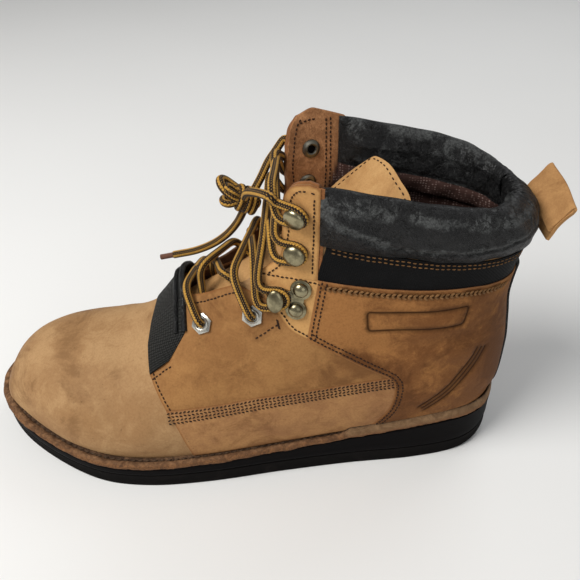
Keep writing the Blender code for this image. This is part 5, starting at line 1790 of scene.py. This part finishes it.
class BOOT_OT_cloth_bands(bpy.types.Operator):
    """Lay the woven vamp band with its binding, the ankle band and the heel's back strip"""

    bl_idname = "boot.cloth_bands"
    bl_label = "Cloth bands"

    def execute(self, context):
        self.vamp_band()
        self.ankle_band()
        self.collar_seam()
        self.back_strip()
        return {"FINISHED"}

    def band_points(self, row, column):
        """Points of the vamp band on the upper, across it by rows and from its front to its rear edge."""
        across = 2 * row - 1
        mixed = []
        for line, weight in ((BAND_FRONT, 1 - column), (BAND_REAR, column)):
            u, share = side_place(*np.array(line, float).T)
            share[0] = 1.0
            at = np.linspace(0, 1, len(u))
            mixed.append([np.interp(np.abs(across), at, values) * weight for values in (u, share)])
        u, share = np.sum(mixed, 0)
        return both_sides(across, lambda side: section_points(u, share, side))

    def vamp_band(self):
        def place(row, column):
            points = self.band_points(row, column)
            step = 0.01
            right, left = np.minimum(row + step, 1), np.maximum(row - step, 0)
            rear, fore = np.minimum(column + step, 1), np.maximum(column - step, 0)
            across = self.band_points(right, column) - self.band_points(left, column)
            along = self.band_points(row, rear) - self.band_points(row, fore)
            normal = unit(np.cross(across, along))
            normal *= np.sign(normal[:, 2:3] + 1e-6)
            return points + normal * (1.0 + 1.2 * np.sin(np.pi * column) ** 0.7)[:, None]

        shape = mapped_grid(110, 26, place)
        face_out(shape, (0, 0, 1))
        thicken(shape, 1.4)
        keep("vamp_webbing_band", shape, ["vamp_band"], "collar_leather", smooth_angle=50)
        ridges = []
        row = np.linspace(0.17, 0.83, 60)
        for column, radius, lift in ((0.99, 1.6, 0.48), (0.80, 1.4, 0.56)):
            line = place(row, np.full(len(row), column)) + (0, 0, lift)
            ridges.append(tube(line, radius, 10, 3.0, 1.6))
        shape = merge(*ridges)
        attribute(shape, "dust", np.full(len(shape.verts), 0.15))
        keep("vamp_band_binding", shape, ["binding"], "collar_leather", smooth_angle=60)

    def ankle_band(self):
        def place(row, column):
            across = 2 * row - 1
            along = np.abs(across) * unroll(ANKLE_FRONT, 137.0)
            x = roll(along, 124 + 22 * column)
            low = smooth(COUNTER_TOP, 1, x) - ANKLE_UNDER
            z = low + (seam_z(x) + 0.6 - low) * column
            lift = 0.8 + 0.25 * np.sin(np.pi * column)
            return both_sides(across, lambda side: on_upper(roll(along, z), z, side, lift)[0])

        shape = mapped_grid(180, 16, place, (26, 240))
        face_out(shape, (-1, 0, 0))
        thicken(shape, 0.7)
        keep("ankle_band", shape, ["ankle"], "collar_leather", smooth_angle=50)

    def collar_seam(self):
        """Two rows of stitches on the ankle band, under the collar."""
        seam = Thread(2.1, 0.78)
        x = np.linspace(104.5, 8, 90)
        for side in SIDES.values():
            for drop in (1.0, 3.2):
                seam.row_on_side(np.stack([x, seam_z(x) - drop], 1), side, 1.05, 2.7)
        keep("collar_seam_stitches", seam.sewn(), ["gold_thread"], "collar_leather")

    def back_strip(self):
        low, high = STRIP_HEIGHTS

        def place(row, column):
            z = low + (high - low) * row
            across = 2 * column - 1
            along = np.abs(across) * (5.5 + 4.0 * row)
            return both_sides(across, lambda side: on_upper(roll(along, z), z, side, 2.9)[0])

        shape = mapped_grid(60, 12, place, (8, 40))
        face_out(shape, (-1, 0, 0))
        attribute(shape, "dust", np.full(len(shape.verts), 0.25))
        thicken(shape, 1.2)
        keep("heel_back_strip", shape, ["collar"], "collar_leather", smooth_angle=50)


def ridge(value, middle, width):
    """1 at the middle, falling off to both sides over the width."""
    return np.exp(-((value - middle) / width) ** 2)


class BOOT_OT_collar(bpy.types.Operator):
    """Build the padded collar with its wrinkles"""

    bl_idname = "boot.collar"
    bl_label = "Padded collar"

    ROWS = 260
    COLUMNS = 72

    def execute(self, context):
        shape = bmesh.new()
        bmesh.ops.create_grid(shape, x_segments=self.COLUMNS, y_segments=self.ROWS, size=0.5)
        shares = np.array([v.co for v in shape.verts]) + 0.5
        points, out, height = self.padding(shares[:, 1], shares[:, 0])
        attribute(shape, "dust", self.dust(shares[:, 1], out, height))
        lined = (out < COLLAR_MIDDLE) & (height < COLLAR_LINED)
        shape.verts.index_update()
        for face in shape.faces:
            face.material_index = int(all(lined[v.index] for v in face.verts))
        for vertex, point in zip(shape.verts, world(points)):
            vertex.co = point
        seal(shape)
        finishes = ["collar", "lining"]
        piece = keep("padded_collar", shape, finishes, "collar_leather", "collar", smooth_angle=80)
        return {"FINISHED"}

    def plan(self, share, side):
        """Plan of the shaft's face from the heel's back (share 0) to the collar's front end (share 1)."""
        section = Section(*(np.float64(v) for v in SECTION_TABLE[COLLAR_PLAN_SECTION][1:]))
        x = section.foot_x + (np.where(side > 0, *COLLAR_FRONT) - section.foot_x) * share
        along = (x - section.foot_x) / (section.top_x - section.foot_x)
        outer, inner = (section_y(section, COLLAR_PLAN_SECTION, along, s) for s in SIDES.values())
        return np.stack([x, np.where(side > 0, outer, inner)], 1)

    def padding(self, row, column):
        """Points of the roll, and how far out and how high on its section each is."""
        side = np.where(row < 0.5, 1, -1)
        turn = np.abs(1 - 2 * row)
        share = turn * turn * (1.4 - 0.4 * turn)
        ring = curve_through(COLLAR_SECTION, 8, closed=True)
        scale = (1, COLLAR_HEIGHT)
        ring = even_steps(np.concatenate([ring, ring[:1]]) * scale, 0.5) / scale
        at = column * (len(ring) - 1)
        out, height = (np.interp(at, np.arange(len(ring)), ring[:, k]) for k in (0, 1))
        here = self.plan(share, side)
        x = here[:, 0]
        z = seam_z(x) + 0.4 + (rim_z(x) - seam_z(x)) * np.maximum(height, 0)
        step = 0.02
        ahead = self.plan(np.minimum(share + step, 1), side)
        behind = self.plan(np.maximum(share - step, 0), side)
        back = share < step
        one = np.ones(len(row))
        ahead = np.where(back[:, None], self.plan(one * step, one), ahead)
        behind = np.where(back[:, None], self.plan(one * step, -one), behind)
        along = unit(ahead - behind)
        normal = np.stack([-along[:, 1], along[:, 0]], 1) * np.where(back, 1, side)[:, None]
        taper = 1 - COLLAR_TAPER * np.maximum(0, 1 - (1 - share) / COLLAR_TAPER_LENGTH) ** 2
        spread = COLLAR_MIDDLE + (out - COLLAR_MIDDLE) * taper
        spread = spread + self.wrinkles(row, share, out, height)
        spot = here + normal * spread[:, None]
        z = z + np.maximum(seam_z(spot[:, 0]) - seam_z(x), 0)
        top = np.maximum(height, 0) ** 2
        z = z + np.where(side > 0, *RIM_TILT) * top * np.minimum(share / 0.25, 1)
        spot[:, 0] += RIM_LEAN * top * np.maximum(1 - share / 0.3, 0)
        return np.stack([spot[:, 0], spot[:, 1], z], 1), out, height

    def dust(self, row, out, height):
        """Dust along the long fold; on the rim, dust and a painted highlight on the roll's top; over the
        inner face, a thin film of dust and painted light.
        """
        share = np.abs(1 - 2 * row)
        fold = ridge(height, smooth(DUST_LINE, 1, share), 0.08) * np.where(out > 0, 1.0, 0.4)
        # Rim: dust and a painted highlight on the top of the roll
        rim = np.where(row < 0.5, ridge(height, 0.80, 0.13), 0.5 * ridge(height, 0.97, 0.08))
        rim *= np.clip(share * 3, 0.3, 1)
        # Inner face: a film of dust and painted light
        return np.clip(np.maximum(fold, rim) + np.where(out < -2, 0.24, 0.06), 0, 1)

    def wrinkles(self, row, share, out, height):
        """Gathers round the heel's bend, long folds, the lining's edge and puckers over the seam."""
        outside = np.where(out > 0, 1.0, 0.0)
        depth = np.where(out < -1, 1.7, 0.7) * np.clip(height * 2.2, 0, 1)
        gathers = -depth * ridge(share, 0, 0.09) * np.abs(np.sin(row * 150 + 1.6 * np.sin(height * 6))) ** 2.5
        ends = np.clip(np.minimum(share / 0.15, (1 - share) / 0.1), 0, 1)
        fold = smooth(DUST_LINE, 1, np.abs(1 - 2 * row)) - 0.05
        long_fold = (0.5 * ridge(height, fold + 0.09, 0.06) - 1.1 * ridge(height, fold, 0.035)) * outside
        inner_fold = -0.9 * ridge(height, 0.8 - 0.12 * share, 0.035) * (1 - outside)
        sewn_in = 1.4 * ridge(height, COLLAR_LINED, 0.05) * np.where(out < COLLAR_MIDDLE, 1.0, 0.0)
        waves = np.abs(np.sin(row * 330 + 2 * np.sin(row * 40)))
        pucker = -0.6 * ridge(height, 0, 0.16) * waves * outside
        swell = 0.4 * np.sin(row * 37 + height * 3) + 0.3 * np.sin(row * 83 + height * 9)
        return gathers + (long_fold + inner_fold + sewn_in) * ends + pucker + swell


def tongue_points(row, column):
    """Points of the tongue's face, along it by rows and across it from the inner side."""
    table = [(i, *line) for i, line in enumerate(TONGUE_LINE)]
    x, z, half, drop = (smooth(table, k, row * (len(table) - 1)) for k in (1, 2, 3, 4))
    across = 2 * column - 1
    turned = eased(row, TONGUE_TURN, 1)
    shift, rise = (smooth(TONGUE_END, k, column) for k in (1, 2))
    wave = 0.7 * np.sin(row * 9 + across) * np.clip(row * 2 - 0.6, 0, 1)
    return np.stack([x + shift * turned, across * half, z - drop * across * across + rise * turned + wave], 1)


class BOOT_OT_tongue(bpy.types.Operator):
    """Build the tongue with its sewn border"""

    bl_idname = "boot.tongue"
    bl_label = "Tongue"

    def execute(self, context):
        shape = mapped_grid(110, 40, tongue_points)
        face_out(shape, (0.5, 0, 0.8))
        attribute(shape, "tone", tone_at(np.array([v.co for v in shape.verts]) / MM))
        thicken(shape, 2.6, 1)
        keep("tongue_flap", shape, ["tongue", "raw_edge"], "tongue_leather", "tongue")
        rows, columns = np.linspace(0.25, TONGUE_HEM, 160), np.linspace(0.13, 0.87, 60)
        seam = Thread(2.1, 0.85)
        up = np.array([0.55, 0, 0.83])
        for row, column in ((rows, 0.11), (rows, 0.89), (TONGUE_HEM, columns)):
            line = tongue_points(*np.broadcast_arrays(row, column)) + up * 0.15
            seam.row(line, np.tile(up, (len(line), 1)), 3.0)
        keep("tongue_stitches", seam.sewn(), ["brown_thread"], "tongue_leather")
        return {"FINISHED"}


class BOOT_OT_pull_loop(bpy.types.Operator):
    """Fold the leather strap behind the collar"""

    bl_idname = "boot.pull_loop"
    bl_label = "Pull loop"

    def execute(self, context):
        line = even_steps(curve_through(LOOP_PROFILE, 10), 0.8)
        rows = len(line) - 1

        def place(row, column):
            i = np.rint(row * rows).astype(int)
            across = (column - 0.5) * LOOP_WIDTH
            skewed = across * np.minimum(row * 2, 1)
            curl = 0.6 * np.cos(across * 0.2) * np.sin(np.pi * row)
            spot = line[i] - skewed[:, None] * LOOP_SKEW + curl[:, None] * (-0.8, 0.6)
            return np.stack([spot[:, 0], across, spot[:, 1]], 1)

        shape = mapped_grid(rows, 24, place)
        face_out(shape, (-1, 0, 0.4))
        thicken(shape, 1.8, 1)
        keep("pull_loop_strap", shape, ["loop", "raw_edge"], "strap_leather", "pull_loop", smooth_angle=50)
        return {"FINISHED"}


def turned(profile, segments=28):
    """A turned shape from a profile (radius, height), from its top to its underside."""
    shape = bmesh.new()
    points = [shape.verts.new((r * MM, 0, z * MM)) for r, z in profile]
    chain = [shape.edges.new(pair) for pair in zip(points, points[1:])]
    bmesh.ops.spin(shape, geom=points + chain, cent=(0, 0, 0), axis=(0, 0, 1), angle=2 * math.pi,
                   steps=segments, use_merge=True)
    bmesh.ops.remove_doubles(shape, verts=shape.verts, dist=WELD / 4)
    bmesh.ops.recalc_face_normals(shape, faces=shape.faces[:])
    return shape


def dome(radius, base, height, steps=8):
    """Profile of a dome from its top to its lip."""
    angles = [math.pi / 2 * i / steps for i in range(steps + 1)]
    return [(radius * math.sin(a), base + height * math.cos(a)) for a in angles]


def seat(x, z, side, lift):
    """Matrix on the upper's outer face: Z outwards, X forwards along it."""
    point, normal, forward = (v[0] for v in side_frames([x], [z], side))
    z_axis = Vector(normal)
    x_axis = (Vector(forward) - z_axis * Vector(forward).dot(z_axis)).normalized()
    return matrix_from((x_axis, z_axis.cross(x_axis), z_axis), Vector(world(point)) + z_axis * lift * MM)


def moved(shape, matrix):
    bmesh.ops.transform(shape, matrix=matrix, verts=shape.verts)
    return shape


def bevelled(shape, offset):
    bmesh.ops.bevel(shape, geom=shape.edges[:], offset=offset * MM, offset_type="OFFSET", segments=2,
                    profile=0.5, affect="EDGES", material=-1)
    return shape


class BOOT_OT_hardware(bpy.types.Operator):
    """Set the eyelets, the domed hooks and the riveted hooks"""

    bl_idname = "boot.hardware"
    bl_label = "Hardware"

    def execute(self, context):
        sizes = looks(context).sizes
        lift, under = sizes.panel / MM, -sizes.wall / MM - 0.2
        turn = Matrix.Rotation(math.pi, 4, "X")
        for name, side in SIDES.items():
            for place, spots in EYELETS.items():
                spot = seat(*spots[side < 0], side, lift)
                self.put("eyelet_" + place + "_" + name, self.eyelet(), spot, "nickel", "nickel")
            for place, spots in DOMED_HOOKS.items():
                spot = seat(*spots[side < 0], side, lift)
                self.put("hook_" + place + "_" + name, self.hook(), spot, "brass", "antique_brass")
                washer = moved(self.washer(), seat(*spots[side < 0], side, under) @ turn)
                # The washer's middle takes the black rubber finish as painted shade in the hole
                keep("washer_" + place + "_" + name, washer, ["washer", "midsole"], "antique_brass",
                     smooth_angle=40)
            spot = seat(*PLATE_HOOKS[side < 0], side, 2 * lift)
            self.put("plate_hook_" + name, self.plate(side), spot, "brass", "antique_brass")
        return {"FINISHED"}

    def put(self, node, shape, matrix, look, slot):
        keep(node + "_metal", moved(shape, matrix), [look], slot, node, smooth_angle=40)

    def eyelet(self):
        """A hexagonal washer round a rolled collar and its barrel."""
        shape = bmesh.new()
        radius = 6.0 * MM
        bmesh.ops.create_cone(shape, cap_ends=True, segments=6, radius1=radius, radius2=radius,
                              depth=1.1 * MM)
        bmesh.ops.translate(shape, verts=shape.verts, vec=(0, 0, 0.6 * MM))
        rim = [(2.6, 1.5), (2.9, 1.9), (3.4, 2.0), (3.9, 1.7), (4.1, 1.2)]
        return merge(bevelled(shape, 0.35), turned([(2.6, -3.4), *rim, (3.4, -3.4), (2.6, -3.4)]))

    def hook(self):
        """A pressed dome with a rolled lip over its stem, and a washer under it."""
        lip = [(5.55, 4.5), (5.2, 4.25), (4.6, 4.3), (3.0, 4.1)]
        stem = [(2.0, 3.2), (1.9, 1.0), (2.6, 0.75)]
        washer = [(4.2, 0.7), (4.4, 0.3), (4.4, -0.4), (0, -0.4)]
        return turned(dome(5.5, 4.9, 2.7) + lip + stem + washer)

    def washer(self):
        """A rolled ring round its sunken middle, which takes a black finish as painted shade in the hole."""
        ring = [(2.1, 0.2), (2.3, 0.9), (2.9, 1.3), (3.8, 1.2), (4.8, 0.6), (5.0, 0.0)]
        shape = turned([(0, 0.2), *ring, (0, -0.6)])
        for face in shape.faces:
            face.material_index = int(face.calc_center_median().xy.length < 2.0 * MM)
        return shape

    def plate(self, side):
        """A trefoil plate held by two rivets, with a hook bent up from its front."""
        disc = [(0, 1.15), (4.9, 1.15), (5.3, 0.95), (5.45, 0.5), (5.4, -0.3), (0, -0.3)]
        rivet = dome(3.9, 1.0, 2.6) + [(3.9, 0.6), (0, 0.6)]
        face = dome(5.9, 5.6, 1.7) + [(5.8, 5.0), (5.2, 4.8), (0, 5.0)]
        parts = []
        for x, y in PLATE_RIVETS:
            centre = Matrix.Translation((x * MM, y * MM * side, 0))
            parts += [moved(turned(disc), centre), moved(turned(rivet), centre)]
        for profile, x, stretch in (
            (disc, 2.2, (1.15, 0.9, 1)),
            (disc, -3.0, (0.95, 0.95, 0.98)),
            (face, PLATE_NECK + 1.2, (0.72, 1.05, 1)),
        ):
            spot = Matrix.Translation((x * MM, 0, 0)) @ Matrix.Diagonal((*stretch, 1))
            parts.append(moved(turned(profile), spot))
        neck = bmesh.new()
        spot = Matrix.Translation((PLATE_NECK * MM, 0, 3.2 * MM))
        size = Matrix.Diagonal((1.5 * MM, 5.6 * MM, 5.4 * MM, 1))
        bmesh.ops.create_cube(neck, size=1.0, matrix=spot @ size)
        return merge(*parts, bevelled(neck, 0.4))


class BOOT_PT_panel(bpy.types.Panel):
    """Lists the boot's settings and steps"""

    bl_label = "Roofing boot"
    bl_idname = "BOOT_PT_panel"
    bl_space_type = "VIEW_3D"
    bl_region_type = "UI"
    bl_category = "Boot"

    def draw(self, context):
        column = self.layout.column()
        for group in (looks(context).sizes, looks(context).colours):
            for name in group.__annotations__:
                column.prop(group, name)
        for step in STEPS:
            column.operator(step.bl_idname)


STEPS = (
    BOOT_OT_stage, BOOT_OT_finishes, BOOT_OT_laces, BOOT_OT_sole, BOOT_OT_welt, BOOT_OT_upper, BOOT_OT_panels,
    BOOT_OT_cloth_bands, BOOT_OT_collar, BOOT_OT_tongue, BOOT_OT_pull_loop, BOOT_OT_hardware,
)
CLASSES = (BootSizes, BootColours, BootLooks, *STEPS, BOOT_PT_panel)


def register():
    for cls in CLASSES:
        bpy.utils.register_class(cls)
    bpy.types.Scene.boot_looks = PointerProperty(type=BootLooks)


def unregister():
    del bpy.types.Scene.boot_looks
    for cls in reversed(CLASSES):
        bpy.utils.unregister_class(cls)


def main():
    register()
    for step in STEPS:
        group, name = step.bl_idname.split(".")
        getattr(getattr(bpy.ops, group), name)()


if __name__ == "__main__":
    main()
